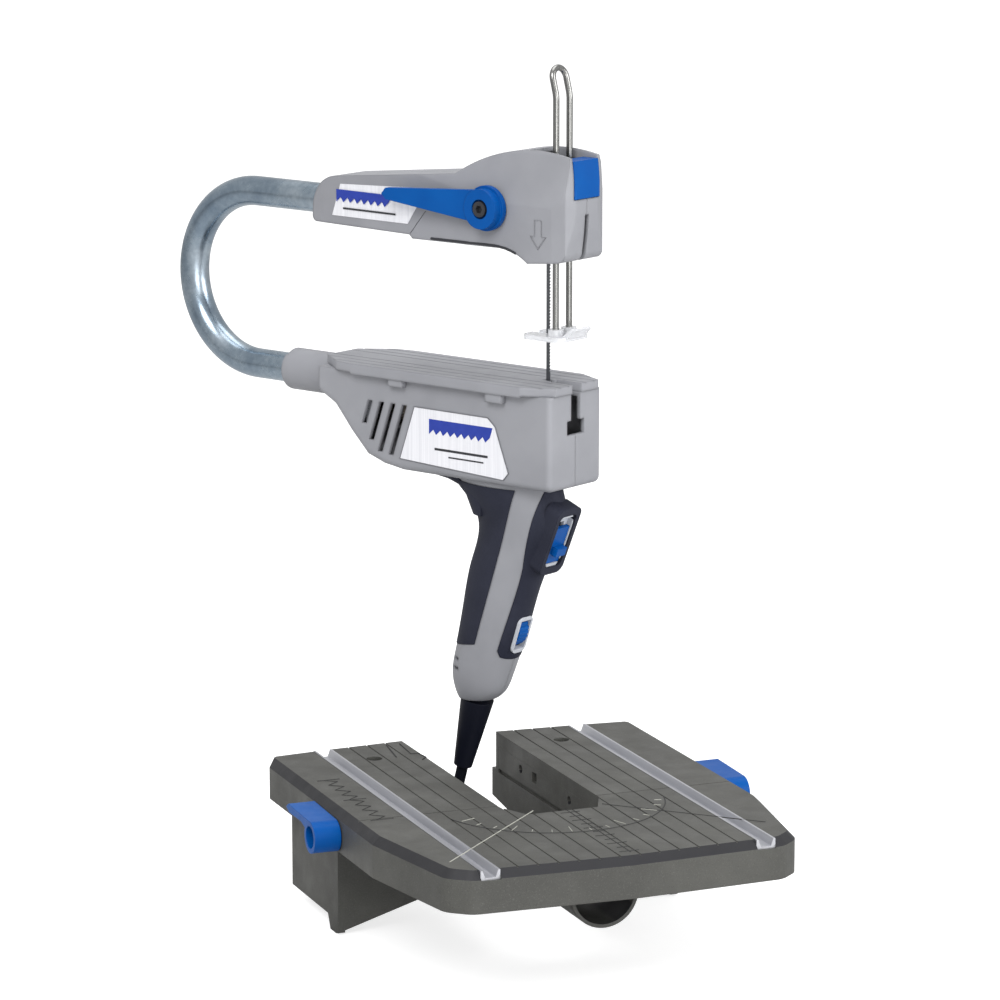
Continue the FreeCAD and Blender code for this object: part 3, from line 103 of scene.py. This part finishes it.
class Finish:
    """A material being built, with short ways to add and join its nodes."""

    def __init__(self, name):
        self.material = bpy.data.materials.new(name)
        self.material.use_nodes = True
        self.tree = self.material.node_tree
        self.shader = self.tree.nodes["Principled BSDF"]
        self.place = self.tree.nodes.new("ShaderNodeTexCoord").outputs["Object"]

    def node(self, kind, **settings):
        made = self.tree.nodes.new(kind)
        for key, value in settings.items():
            if key in made.inputs:
                made.inputs[key].default_value = value
            else:
                setattr(made, key, value)
        return made

    def link(self, out, into):
        self.tree.links.new(out, into)

    def stretched(self, x, y, z):
        mapping = self.node("ShaderNodeMapping")
        mapping.inputs["Scale"].default_value = (x, y, z)
        self.link(self.place, mapping.inputs["Vector"])
        return mapping.outputs["Vector"]

    def noise(self, scale, detail=4.0, roughness=0.55, where=None):
        noise = self.node("ShaderNodeTexNoise", Scale=scale, Detail=detail, Roughness=roughness)
        self.link(where or self.place, noise.inputs["Vector"])
        return noise.outputs["Fac"]

    def ramp(self, value, *stops):
        ramp = self.node("ShaderNodeValToRGB")
        band = ramp.color_ramp
        while len(band.elements) < len(stops):
            band.elements.new(0.5)
        for element, (position, shade) in zip(band.elements, stops):
            element.position = position
            element.color = shade if len(shade) == 4 else (*shade, 1.0)
        self.link(value, ramp.inputs["Fac"])
        return ramp.outputs["Color"]

    def grey(self, value, low, high, start=0.3, stop=0.7):
        return self.ramp(value, (start, (low, low, low)), (stop, (high, high, high)))

    def mix(self, factor, one, two, mode="MIX"):
        mix = self.node("ShaderNodeMix", data_type="RGBA", blend_type=mode)
        for value, socket in ((factor, mix.inputs[0]), (one, mix.inputs[6]), (two, mix.inputs[7])):
            if isinstance(value, (int, float, tuple)):
                socket.default_value = value
            else:
                self.link(value, socket)
        return mix.outputs[2]

    def bump(self, height, distance, strength=1.0, base=None):
        bump = self.node("ShaderNodeBump", Strength=strength, Distance=distance)
        self.link(height, bump.inputs["Height"])
        if base:
            self.link(base, bump.inputs["Normal"])
        return bump.outputs["Normal"]

    def round_edges(self, radius):
        """Normal that softens sharp edges by a radius in metres."""
        bevel = self.node("ShaderNodeBevel", Radius=radius)
        bevel.samples = 6
        return bevel.outputs["Normal"]

    def slope(self, low, high):
        """1 where the surface leans between two values of its normal's height, else 0."""
        place = self.node("ShaderNodeNewGeometry")
        split = self.node("ShaderNodeSeparateXYZ")
        self.link(place.outputs["Normal"], split.inputs[0])
        edge = 0.06
        return self.ramp(split.outputs["Z"], (low - edge, (0, 0, 0)), (low, (1, 1, 1)), (high, (1, 1, 1)),
                         (high + edge, (0, 0, 0)))

    def set(self, **sockets):
        names = {"colour": "Base Color", "roughness": "Roughness", "metal": "Metallic", "normal": "Normal",
                 "ior": "IOR", "coat": "Coat Weight", "coat_rough": "Coat Roughness",
                 "clear": "Transmission Weight", "specular": "Specular IOR Level", "glow": "Emission Color",
                 "glow_strength": "Emission Strength"}
        for key, value in sockets.items():
            socket = self.shader.inputs[names[key]]
            if isinstance(value, (int, float, tuple)):
                socket.default_value = value
            else:
                self.link(value, socket)
        return self.material


def moulded_plastic(name, base, worn, grain=2600.0, depth=0.00003, rough=(0.42, 0.56), edge=0.0006,
                    shine=0.3):
    """Spark-textured moulding: fine grain, slow colour drift and slightly uneven gloss."""
    finish = Finish(name)
    drift = finish.noise(18.0, 3.0)
    fine = finish.noise(grain, 2.0, 0.6)
    shade = finish.mix(finish.grey(drift, 0.0, 1.0, 0.35, 0.65), base, worn)
    shade = finish.mix(finish.grey(fine, 0.0, 0.16, 0.35, 0.7), shade, worn)
    gloss = finish.grey(finish.noise(90.0, 4.0), *rough)
    return finish.set(colour=shade, roughness=gloss, specular=shine,
                      normal=finish.bump(fine, depth, 0.6, finish.round_edges(edge)))


def speckled_plastic(name, base, pale, dark):
    """Dark glass-filled plastic with pale fibre specks, a matt grain and painted shade on sloping faces."""
    finish = Finish(name)
    cells = finish.node("ShaderNodeTexVoronoi", Scale=900.0)
    finish.link(finish.place, cells.inputs["Vector"])
    specks = finish.grey(finish.noise(1400.0, 3.0, 0.7), 0.0, 0.8, 0.56, 0.68)
    pits = finish.grey(cells.outputs["Distance"], 0.55, 0.0, 0.05, 0.25)
    streaks = finish.grey(finish.noise(26.0, 5.0, 0.6), 0.0, 0.5, 0.4, 0.75)
    shade = finish.mix(streaks, base, pale)
    shade = finish.mix(specks, shade, pale)
    shade = finish.mix(pits, shade, dark)
    # Painted shade: faces that slope, such as the table's bevelled rim, are darkened as if turned away from
    # the light.
    shade = finish.mix(finish.slope(0.45, 0.9), shade, dark)
    grain = finish.noise(2200.0, 3.0, 0.65)
    gloss = finish.grey(finish.noise(60.0, 4.0), 0.42, 0.6)
    return finish.set(colour=shade, roughness=gloss, specular=0.3,
                      normal=finish.bump(grain, 0.00006, 0.7, finish.round_edges(0.0005)))


def drawn_metal(name, base, pale, scale, rough=(0.22, 0.38), depth=0.00001):
    """Metal with fine lines along the direction it was drawn or brushed in."""
    finish = Finish(name)
    lines = finish.noise(1.0, 3.0, 0.6, finish.stretched(*scale))
    patches = finish.noise(22.0, 3.0)
    shade = finish.mix(lines, base, pale)
    shade = finish.mix(finish.grey(patches, 0.0, 0.4), shade, pale)
    return finish.set(colour=shade, metal=1.0, roughness=finish.grey(lines, *rough),
                      normal=finish.bump(lines, depth, 0.5))


def zinc_plate(name):
    """Zinc-plated tube: bluish, with cloudy patches and faint lengthwise draw marks."""
    finish = Finish(name)
    clouds = finish.noise(35.0, 6.0, 0.65)
    fine = finish.noise(420.0, 4.0, 0.6)
    shade = finish.ramp(clouds, (0.3, colour(118, 134, 150)), (0.5, colour(150, 164, 176)),
                        (0.72, colour(184, 194, 202)))
    shade = finish.mix(finish.grey(fine, 0.0, 0.35), shade, colour(96, 112, 126))
    gloss = finish.grey(clouds, 0.2, 0.34)
    return finish.set(colour=shade, metal=1.0, roughness=gloss, normal=finish.bump(fine, 0.000012, 0.4))


def soft_rubber(name, base, pale):
    finish = Finish(name)
    pores = finish.noise(1500.0, 3.0, 0.7)
    wear = finish.noise(30.0, 4.0)
    shade = finish.mix(finish.grey(wear, 0.0, 0.7, 0.35, 0.7), base, pale)
    shade = finish.mix(finish.grey(pores, 0.0, 0.4, 0.5, 0.75), shade, pale)
    return finish.set(colour=shade, roughness=finish.grey(wear, 0.5, 0.66), specular=0.1,
                      normal=finish.bump(pores, 0.00008, 0.8, finish.round_edges(0.0008)))


def clear_moulding(name):
    finish = Finish(name)
    ripple = finish.noise(160.0, 3.0)
    return finish.set(colour=(0.9, 0.91, 0.94, 1.0), roughness=finish.grey(ripple, 0.1, 0.22), clear=0.45,
                      ior=1.49, normal=finish.bump(ripple, 0.00005, 0.4))


def label_film(name):
    finish = Finish(name)
    lines = finish.noise(1.0, 3.0, 0.6, finish.stretched(900, 900, 14))
    shade = finish.mix(lines, colour(205, 206, 212), colour(244, 244, 248))
    return finish.set(colour=shade, metal=0.25, roughness=finish.grey(lines, 0.28, 0.42),
                      normal=finish.bump(lines, 0.000008, 0.5), coat=0.2, coat_rough=0.2)


def printed_ink(name, shade, rough=0.5):
    finish = Finish(name)
    wear = finish.noise(240.0, 3.0)
    pale = tuple(min(1.0, c * 1.25 + 0.01) for c in shade[:3]) + (1.0,)
    return finish.set(colour=finish.mix(finish.grey(wear, 0.0, 0.5), shade, pale), roughness=rough)


def make_finishes():
    plastic = "housing_grey_plastic"
    return {
        "grey_plastic": moulded_plastic(plastic, colour(128, 129, 134), colour(140, 141, 146), edge=0.0022),
        "light_grey_plastic": moulded_plastic("bezel_grey_plastic", colour(170, 174, 182),
                                              colour(184, 187, 193)),
        "table_plastic": speckled_plastic("table_dark_plastic", colour(66, 66, 63), colour(88, 88, 84),
                                          colour(34, 34, 37)),
        "rail_aluminium": drawn_metal("rail_drawn_aluminium", colour(168, 169, 174), colour(206, 207, 212),
                                      (2600, 8, 2600), rough=(0.35, 0.5)),
        "blue_plastic": moulded_plastic("control_blue_plastic", colour(0, 66, 136), colour(2, 78, 150),
                                        grain=1800.0, depth=0.00002, rough=(0.3, 0.42), shine=0.12),
        "grip_rubber": soft_rubber("grip_dark_rubber", colour(34, 36, 47), colour(50, 52, 64)),
        "black_plastic": moulded_plastic("trim_black_plastic", colour(12, 14, 24), colour(22, 24, 34),
                                         shine=0.12),
        "cord_jacket": soft_rubber("cord_black_jacket", colour(10, 12, 20), colour(22, 24, 32)),
        "label_film": label_film("label_brushed_film"),
        "zinc_tube": zinc_plate("tube_zinc_plate"),
        "bright_wire": drawn_metal("guard_bright_wire", colour(112, 112, 110), colour(150, 150, 148),
                                   (900, 900, 30), rough=(0.2, 0.3)),
        "clear_plastic": clear_moulding("guard_clear_plastic"),
        "machined_steel": drawn_metal("machined_steel", colour(128, 130, 134), colour(170, 172, 175),
                                      (60, 1400, 1400)),
        "blade_steel": drawn_metal("blade_hard_steel", colour(84, 86, 90), colour(118, 120, 124),
                                   (900, 60, 60)),
        "motor_iron": drawn_metal("motor_laminations", colour(80, 76, 72), colour(120, 114, 106),
                                  (30, 30, 1800)),
        "carbon": moulded_plastic("brush_carbon", colour(30, 30, 32), colour(48, 48, 50)),
        "ink_blue": printed_ink("print_blue", colour(14, 44, 140)),
        "ink_dark": printed_ink("print_dark", colour(30, 31, 36)),
        "line_dark": printed_ink("table_line_dark", colour(30, 30, 30), 0.7),
        "line_pale": printed_ink("table_line_pale", colour(150, 150, 142), 0.6),
        "circuit_board": moulded_plastic("board_green", colour(20, 84, 52), colour(34, 104, 66)),
    }


FINISHES = {}


def finish_nodes():
    """Give every CAD node the finish of its record slot."""
    FINISHES.update(make_finishes())
    for row in frame["record"]["subparts"]:
        node = frame["nodes"][row["node"]]
        node.data.materials.clear()
        node.data.materials.append(FINISHES[row["material_slot"]])
    frame["nodes"]["lever_screw"].data.materials[0] = FINISHES["ink_dark"]


# ---------------------------------------------------------------- mesh helpers

def clear_selection():
    if bpy.context.object and bpy.context.object.mode != "OBJECT":
        bpy.ops.object.mode_set(mode="OBJECT")
    bpy.ops.object.select_all(action="DESELECT")


def take(piece):
    clear_selection()
    piece.select_set(True)
    bpy.context.view_layer.objects.active = piece
    return piece


def settle(piece, name, finish, body, smooth=35.0):
    """Name a piece, bake its place into its mesh, give it a finish and hand it to a body."""
    piece.name = name
    piece.data.name = name
    take(piece)
    bpy.ops.object.transform_apply(location=True, rotation=True, scale=True)
    if smooth:
        bpy.ops.object.shade_smooth_by_angle(angle=math.radians(smooth))
    piece.data.materials.clear()
    piece.data.materials.append(FINISHES[finish])
    if body:
        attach(piece, body)
    return piece


def flat_place(at, along, up):
    """Matrix of a flat place: local X runs along, local Y runs up, local Z comes out of the surface."""
    matrix = Matrix((along, up, along.cross(up))).transposed().to_4x4()
    matrix.translation = at
    return matrix


def saw_way(x, y, z):
    return (SAW.to_3x3() @ Vector((x, y, z))).normalized()


def left_face(x, y=0.0, turn=0.0):
    """Place on the saw's left side: local X to the front, local Y up, turned in plan by so many degrees."""
    swing = math.radians(turn)
    return flat_place(on_saw(x, y, 0), saw_way(-math.sin(swing), -math.cos(swing), 0), Vector((0, 0, 1)))


def right_face(x, y=0.0, turn=0.0):
    """Place on the saw's right side: local X to the rear, local Y up, turned in plan by so many degrees."""
    swing = math.radians(turn)
    return flat_place(on_saw(x, y, 0), saw_way(-math.sin(swing), math.cos(swing), 0), Vector((0, 0, 1)))


def drawn(name, place, loops, finish, body, closed=True, smooth=30.0, **shape):
    """Mesh piece from straight-sided loops in millimetres, laid in a place."""
    curve = bpy.data.curves.new(name, "CURVE")
    curve.dimensions = "2D" if closed == "filled" else "3D"
    for key, value in shape.items():
        setattr(curve, key, value)
    for loop in loops:
        spline = curve.splines.new("POLY")
        spline.points.add(len(loop) - 1)
        for knot, spot in zip(spline.points, loop):
            knot.co = (*[number / 1000 for number in (*spot, 0.0)[:3]], 1.0)
        spline.use_cyclic_u = bool(closed)
    piece = bpy.data.objects.new(name, curve)
    bpy.context.scene.collection.objects.link(piece)
    piece.matrix_world = place
    take(piece)
    bpy.ops.object.convert(target="MESH")
    return settle(bpy.context.object, name, finish, body, smooth=smooth)


def plate(name, place, loops, rise, finish, body, rim=0.05):
    """Flat plate that stands so far out of its place, with a softened rim."""
    return drawn(name, place @ Matrix.Translation((0, 0, rise / 2000)), loops, finish, body, closed="filled",
                 fill_mode="BOTH", extrude=(rise / 2 - rim) / 1000, bevel_depth=rim / 1000,
                 bevel_resolution=1)


def strokes(name, place, paths, radius, finish, body, closed=False):
    """Round lines of one radius."""
    return drawn(name, place, paths, finish, body, closed=closed, bevel_depth=radius / 1000,
                 bevel_resolution=2, use_fill_caps=True)


# ---------------------------------------------------------------- mains cord

RELIEF_FOOT = Vector((0, 50.6, -188))      # strain relief's root, in the saw frame
RELIEF_WAY = Vector((0, math.sin(math.radians(14.8)), -math.cos(math.radians(14.8))))
BENCH = -80                                 # bench below the table's top face
COIL_CENTRE = Vector((8, 226))
COIL_MEAN, COIL_SPREAD, TURN_PITCH = 37.8, 9.9, 6.6


def coil_spot(radius, angle, height):
    """Point over the bench at a radius and angle from the coil's centre."""
    return Vector((*(COIL_CENTRE + radius * Vector((math.cos(angle), math.sin(angle)))), height))


def coil_points(lie, per_turn=14):
    """Three turns winding in on the bench, then three winding out on top of them, then down beside them."""
    points = []
    start = math.radians(197)
    for step in range(1, 6 * per_turn + 1):
        turn = step / per_turn
        radius = COIL_MEAN - COIL_SPREAD + TURN_PITCH * abs(turn - 3)
        climb = min(max((turn - 2.7) / 0.9, 0), 1)
        height = TURN_PITCH * climb * climb * (3 - 2 * climb)
        angle = start - 2 * math.pi * turn
        points.append(coil_spot(radius, angle, lie + height))
    for step in range(1, 5):
        share = step / 4
        roll = math.radians(90) * share * share * (3 - 2 * share)
        radius = COIL_MEAN + COIL_SPREAD + 6.8 * math.sin(roll)
        angle = start - math.radians(67) * share
        points.append(coil_spot(radius, angle, lie + 6.8 * math.cos(roll)))
    return points


def cord_points(diameter):
    """Control points in the row frame, in metres, from the strain relief to the plug."""
    lie = BENCH + diameter * 500
    leave = [on_saw(*(RELIEF_FOOT + RELIEF_WAY * along)) for along in (42, 62)]
    free = [Vector((-8.0, 136.5, -53)), Vector((-14, 153, -70.5)), Vector((-23, 173, lie)),
            Vector((-33.5, 193, lie)), Vector((-38.5, 211, lie))]
    tail = [Vector((-15, 279.5, lie + 1.5)), Vector((1, 284.5, BENCH + 9.1))]
    return leave + [on_table(*point) for point in free + coil_points(lie) + tail]


def route_curve(name, points):
    """Smooth NURBS line whose control points are the route's points."""
    curve = bpy.data.curves.new(name, "CURVE")
    curve.dimensions = "3D"
    curve.resolution_u = 8
    spline = curve.splines.new("NURBS")
    spline.points.add(len(points) - 1)
    for knot, place in zip(spline.points, points):
        knot.co = (*place, 1.0)
    spline.order_u = 3
    spline.use_endpoint_u = True
    piece = bpy.data.objects.new(name, curve)
    bpy.context.scene.collection.objects.link(piece)
    return piece


def coil_tie(diameter):
    """Strap round the coil's turns."""
    half_wide, half_high, corner = COIL_SPREAD + diameter * 500 + 0.4, diameter * 1000 - 0.6, 2.4
    loop = []
    for number, (x, y) in enumerate(((1, 1), (-1, 1), (-1, -1), (1, -1))):
        for step in range(4):
            angle = math.radians(90 * number + 30 * step)
            loop.append((x * (half_wide - corner) + corner * math.cos(angle),
                         y * (half_high - corner) + corner * math.sin(angle)))
    way = Vector((math.cos(math.radians(70)), math.sin(math.radians(70)), 0))
    spot = COIL_CENTRE + COIL_MEAN * way.to_2d()
    place = flat_place(on_table(spot.x, spot.y, BENCH + half_high + 0.6), way, Vector((0, 0, 1)))
    width = 8
    start = place @ Matrix.Translation((0, 0, -width / 2000))
    return plate("cord_tie", start, [loop], width, "black_plastic", "table", 0.3)


def build_cord(settings):
    """Black mains cord, stored length coiled behind the table."""
    cord = route_curve("mains_cord", cord_points(settings.diameter))
    line = bpy.data.meshes.new_from_object(cord)
    cord.data.bevel_depth = settings.diameter / 2
    cord.data.bevel_resolution = 4
    cord.data.use_fill_caps = True
    take(cord)
    bpy.ops.object.convert(target="MESH")
    cord = bpy.context.object
    settle(cord, "mains_cord", "cord_jacket", None, smooth=60)
    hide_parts("power_cord", "cord_coil", "cord_tail")
    tie = coil_tie(settings.diameter)
    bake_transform(cord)


# ---------------------------------------------------------------- printed art and fine pieces

HOUSING_LABEL = [(76.8, -20.4), (24, -20.6), (18.8, -25), (9.4, -50), (13, -54.3), (87.4, -51)]


def saw_teeth(left, right, low, high, count):
    """Closed outline of a bar with a row of teeth along its lower edge."""
    pitch = (right - left) / count
    loop = [(left, high), (right, high)]
    for number in range(count):
        loop += [(right - number * pitch, low), (right - (number + 0.62) * pitch, low + pitch * 0.55)]
    return loop


def housing_labels():
    """Saw-tooth bar and rules printed on the label of each side of the housing."""
    bar = saw_teeth(20.5, 66, -34.5, -26, 9)
    rules = [(24, 62, -43.2, -41.9), (27, 52, -46.6, -45.8)]
    for side, face, mirror in (("left", left_face, -1), ("right", right_face, 1)):
        at = -23.46 if side == "left" else 23.46
        art = [(mirror * y, z) for y, z in bar]
        plate(f"label_bar_{side}", face(at), [art[::mirror]], 0.12, "ink_blue", "saw", 0.02)
        boxes = [[(mirror * a, low), (mirror * b, low), (mirror * b, high), (mirror * a, high)]
                 for a, b, low, high in rules]
        plate(f"label_rules_{side}", face(at), boxes, 0.1, "ink_dark", "saw", 0.02)
        border = [(mirror * y, z) for y, z in HOUSING_LABEL]
        strokes(f"label_border_{side}", face(at * 0.999), [border], 0.28, "grey_plastic", "saw", closed=True)


def arm_labels():
    """Saw-tooth bar and rule on the label of each side of the arm."""
    back, lean = 52, 2.12
    bar = saw_teeth(99, 141, 88.5, 95.5, 8)
    for side, face, mirror in (("left", left_face, -1), ("right", right_face, 1)):
        place = face(mirror * 17.87, back, lean)
        art = [(mirror * (y - back), z) for y, z in bar]
        plate(f"arm_label_bar_{side}", place, [art[::mirror]], 0.12, "ink_blue", "saw", 0.02)
        rule = [(96, 84.6), (136, 84.6), (136, 85.6), (96, 85.6)]
        line = [(mirror * (y - back), z) for y, z in rule]
        plate(f"arm_label_rule_{side}", place, [line], 0.1, "ink_dark", "saw", 0.02)


def on_skin(node, side, y, z):
    """Spot in millimetres where a level line from the saw's side meets a node, or None."""
    hit, spot, _, _ = frame["nodes"][node].ray_cast(on_saw(side * 60, y, z), saw_way(-side, 0, 0))
    return tuple(spot * 1000) if hit else None


def skin_line(name, node, side, route, radius, finish):
    """Line that follows a node's side along a route of (y, z) points."""
    spots = [on_skin(node, side, y, z) for y, z in route]
    return strokes(name, Matrix(), [[spot for spot in spots if spot]], radius, finish, "saw")


def arm_lines():
    """Painted shade along the slot under the head, and the joint line between arm and head, on both sides.
    """
    # Painted shade: a dark line along the slot under the head stands in for the shade inside the slot.
    slot = [(70, 74), (58, 74.1), (44, 74.3), (32, 74.5), (22, 74.4), (16, 73.6), (12, 72.6), (8.6, 71.4)]
    for side, label in ((-1, "left"), (1, "right")):
        shell = f"arm_shell_{label}"
        skin_line(f"arm_slot_shade_{label}", shell, side, slot, 0.75, "ink_dark")
        skin_line(f"arm_joint_{label}", shell, side, [(85.6, 75.4), (80, 82), (74, 89)], 0.18, "ink_dark")


def table_marks():
    """Degree arc, angle lines and centre scale moulded and printed on the table's top face."""
    flat = flat_place(on_table(0, 0, 0.02), Vector((1, 0, 0)), Vector((0, 1, 0)))
    sweep = [math.radians(a) for a in range(194, 347, 4)]
    arc = [(64 * math.cos(a), 64 * math.sin(a)) for a in sweep]
    ticks = []
    for number in range(15):
        a = math.radians(200 + 10 * number)
        reach = 58 if number % 3 else 53
        ticks.append([(reach * math.cos(a), reach * math.sin(a)), (62 * math.cos(a), 62 * math.sin(a))])
    strokes("angle_arc", flat, [arc], 0.32, "line_dark", "table")
    strokes("angle_ticks", flat, ticks, 0.22, "line_pale", "table")
    strokes("mitre_line_left", flat, [[(-15, -16), (-92, -91)]], 0.3, "line_pale", "table")
    strokes("mitre_line_right", flat, [[(25, -17), (92, -82.3)]], 0.3, "line_dark", "table")
    scale = [[(2.5, -20), (2.5, -108)]]
    scale += [[(2.5 - (3.5 if number % 2 else 5.5), y), (2.5 + (3.5 if number % 2 else 5.5), y)]
              for number, y in enumerate(range(-26, -107, -8))]
    strokes("centre_scale", flat, scale, 0.28, "line_dark", "table")
    mark = [[(-103, 84), (-90, 84)], [(-103, 41), (-90, 41)], [(-103, -2), (-90, -2)]]
    zigzag = [[(-100 + 7 * (number % 2), -2 + 5.4 * number) for number in range(17)]]
    strokes("plate_zigzag", flat, mark + zigzag, 0.3, "line_dark", "table")
    blade = [[(-40.5, 143), (-44.5, 116)],
             [(-32.5, 143), (-34.3, 120), (-30, 119.4), (-29, 110), (-32.5, 106)]]
    strokes("blade_pictogram", flat, blade, 0.45, "line_dark", "table")


def arrow_mark():
    """Moulded arrow beside the tension lever, pointing to the table."""
    shape = [(4.5, 91), (9.5, 91), (9.5, 82), (12.5, 82), (7, 75), (1.5, 82), (4.5, 82)]
    plate("lever_arrow", left_face(-18.05), [shape], 0.35, "grey_plastic", "saw", 0.1)


# ---------------------------------------------------------------- settings

class ScrollSawStage(bpy.types.PropertyGroup):
    lens: FloatProperty(name="Lens", description="Camera focal length", default=157.5, min=20, unit="CAMERA")
    light: FloatProperty(name="Key light", description="Power of the large soft light", default=31.0, min=0,
                         unit="POWER")


class ScrollSawCord(bpy.types.PropertyGroup):
    diameter: FloatProperty(name="Diameter", description="Mains cord diameter", default=0.0065, min=0.002,
                            unit="LENGTH")


class SCROLLSAW_OT_mains_cord(bpy.types.Operator):
    """Lay the mains cord from the strain relief to its plug"""
    bl_idname = "scrollsaw.mains_cord"
    bl_label = "Mains cord"

    def execute(self, context):
        build_cord(context.scene.scrollsaw_cord)
        return {"FINISHED"}


class SCROLLSAW_OT_finish_nodes(bpy.types.Operator):
    """Give each CAD part its finish"""
    bl_idname = "scrollsaw.finish_nodes"
    bl_label = "Finish parts"

    def execute(self, context):
        finish_nodes()
        return {"FINISHED"}


class SCROLLSAW_OT_housing_labels(bpy.types.Operator):
    """Print the labels on both sides of the housing"""
    bl_idname = "scrollsaw.housing_labels"
    bl_label = "Housing labels"

    def execute(self, context):
        housing_labels()
        return {"FINISHED"}


class SCROLLSAW_OT_arm_marks(bpy.types.Operator):
    """Print the arm's labels and draw its joint line, its arrow and the painted shade along its slot"""
    bl_idname = "scrollsaw.arm_marks"
    bl_label = "Arm marks"

    def execute(self, context):
        arm_labels()
        arm_lines()
        arrow_mark()
        return {"FINISHED"}


class SCROLLSAW_OT_table_marks(bpy.types.Operator):
    """Mark the scales and lines on the table"""
    bl_idname = "scrollsaw.table_marks"
    bl_label = "Table marks"

    def execute(self, context):
        table_marks()
        return {"FINISHED"}


class SCROLLSAW_OT_stage(bpy.types.Operator):
    """Set up the pale floor, the soft lights and the camera"""
    bl_idname = "scrollsaw.stage"
    bl_label = "Stage and camera"

    def execute(self, context):
        build_stage(context.scene.scrollsaw_stage)
        return {"FINISHED"}


CAMERA_PLACE = (-872.8, -2124.5, 637.0)
CAMERA_TURN, CAMERA_RISE = math.radians(-21.69), math.radians(11.57)


def soft_light(name, place, aim, across, power):
    """Round area light aimed at a point."""
    light = bpy.data.lights.new(name, "AREA")
    light.shape = "DISK"
    light.size = across
    light.energy = power
    lamp = bpy.data.objects.new(name, light)
    lamp.location = place
    lamp.rotation_euler = (Vector(aim) - Vector(place)).to_track_quat("-Z", "Y").to_euler()
    bpy.context.scene.collection.objects.link(lamp)
    return lamp


def build_stage(settings):
    clear_selection()
    bpy.ops.mesh.primitive_plane_add(size=60, location=(0, 0, 0))
    floor = bpy.context.object
    floor.name = "floor"
    ground = Finish("floor_white")
    seen = ground.node("ShaderNodeLightPath").outputs["Is Camera Ray"]
    floor.data.materials.append(ground.set(colour=(0.55, 0.55, 0.55, 1.0), roughness=0.7,
                                           glow=(0.72, 0.72, 0.72, 1.0), glow_strength=seen))

    world = bpy.data.worlds.new("studio")
    bpy.context.scene.world = world
    world.use_nodes = True
    sky = world.node_tree.nodes["Background"]
    sky.inputs["Color"].default_value = (1.0, 1.0, 1.0, 1.0)
    sky.inputs["Strength"].default_value = 0.72
    bpy.context.scene.view_settings.view_transform = "Standard"

    aim = (0, 0, 0.2)
    soft_light("key", (-1.2, -1.3, 1.7), aim, 1.2, settings.light)
    soft_light("fill", (1.5, -1.5, 0.9), aim, 1.4, settings.light * 0.85)
    soft_light("front", (-0.2, -2.0, 0.35), aim, 1.0, settings.light * 0.4)
    soft_light("top", (0.1, 0.3, 2.0), aim, 1.6, settings.light * 0.6)

    camera = bpy.data.cameras.new("camera")
    camera.lens = settings.lens
    camera.sensor_width = 36
    camera.clip_end = 30
    eye = bpy.data.objects.new("camera", camera)
    eye.location = on_table(*CAMERA_PLACE)
    level = math.cos(CAMERA_RISE)
    back = Vector((math.sin(CAMERA_TURN) * level, -math.cos(CAMERA_TURN) * level, math.sin(CAMERA_RISE)))
    eye.rotation_euler = back.to_track_quat("Z", "Y").to_euler()
    bpy.context.scene.collection.objects.link(eye)
    bpy.context.scene.camera = eye


class SCROLLSAW_PT_panel(bpy.types.Panel):
    """Lists the saw's build steps"""
    bl_idname = "SCROLLSAW_PT_panel"
    bl_label = "Scroll Saw"
    bl_space_type = "VIEW_3D"
    bl_region_type = "UI"
    bl_category = "Scroll Saw"

    def draw(self, context):
        for step in STEPS:
            self.layout.operator(step)


STEPS = ("scrollsaw.finish_nodes", "scrollsaw.housing_labels", "scrollsaw.arm_marks",
         "scrollsaw.table_marks", "scrollsaw.mains_cord", "scrollsaw.stage")
SETTINGS = {"scrollsaw_stage": ScrollSawStage, "scrollsaw_cord": ScrollSawCord}
CLASSES = (ScrollSawStage, ScrollSawCord, SCROLLSAW_OT_finish_nodes, SCROLLSAW_OT_housing_labels,
           SCROLLSAW_OT_arm_marks, SCROLLSAW_OT_table_marks, SCROLLSAW_OT_mains_cord, SCROLLSAW_OT_stage,
           SCROLLSAW_PT_panel)


def register():
    for kind in CLASSES:
        bpy.utils.register_class(kind)
    for name, kind in SETTINGS.items():
        setattr(bpy.types.Scene, name, PointerProperty(type=kind))


def unregister():
    for name in SETTINGS:
        delattr(bpy.types.Scene, name)
    for kind in reversed(CLASSES):
        bpy.utils.unregister_class(kind)


def main():
    register()
    for step in STEPS:
        group, name = step.split(".")
        getattr(getattr(bpy.ops, group), name)()


if __name__ == "__main__":
    main()
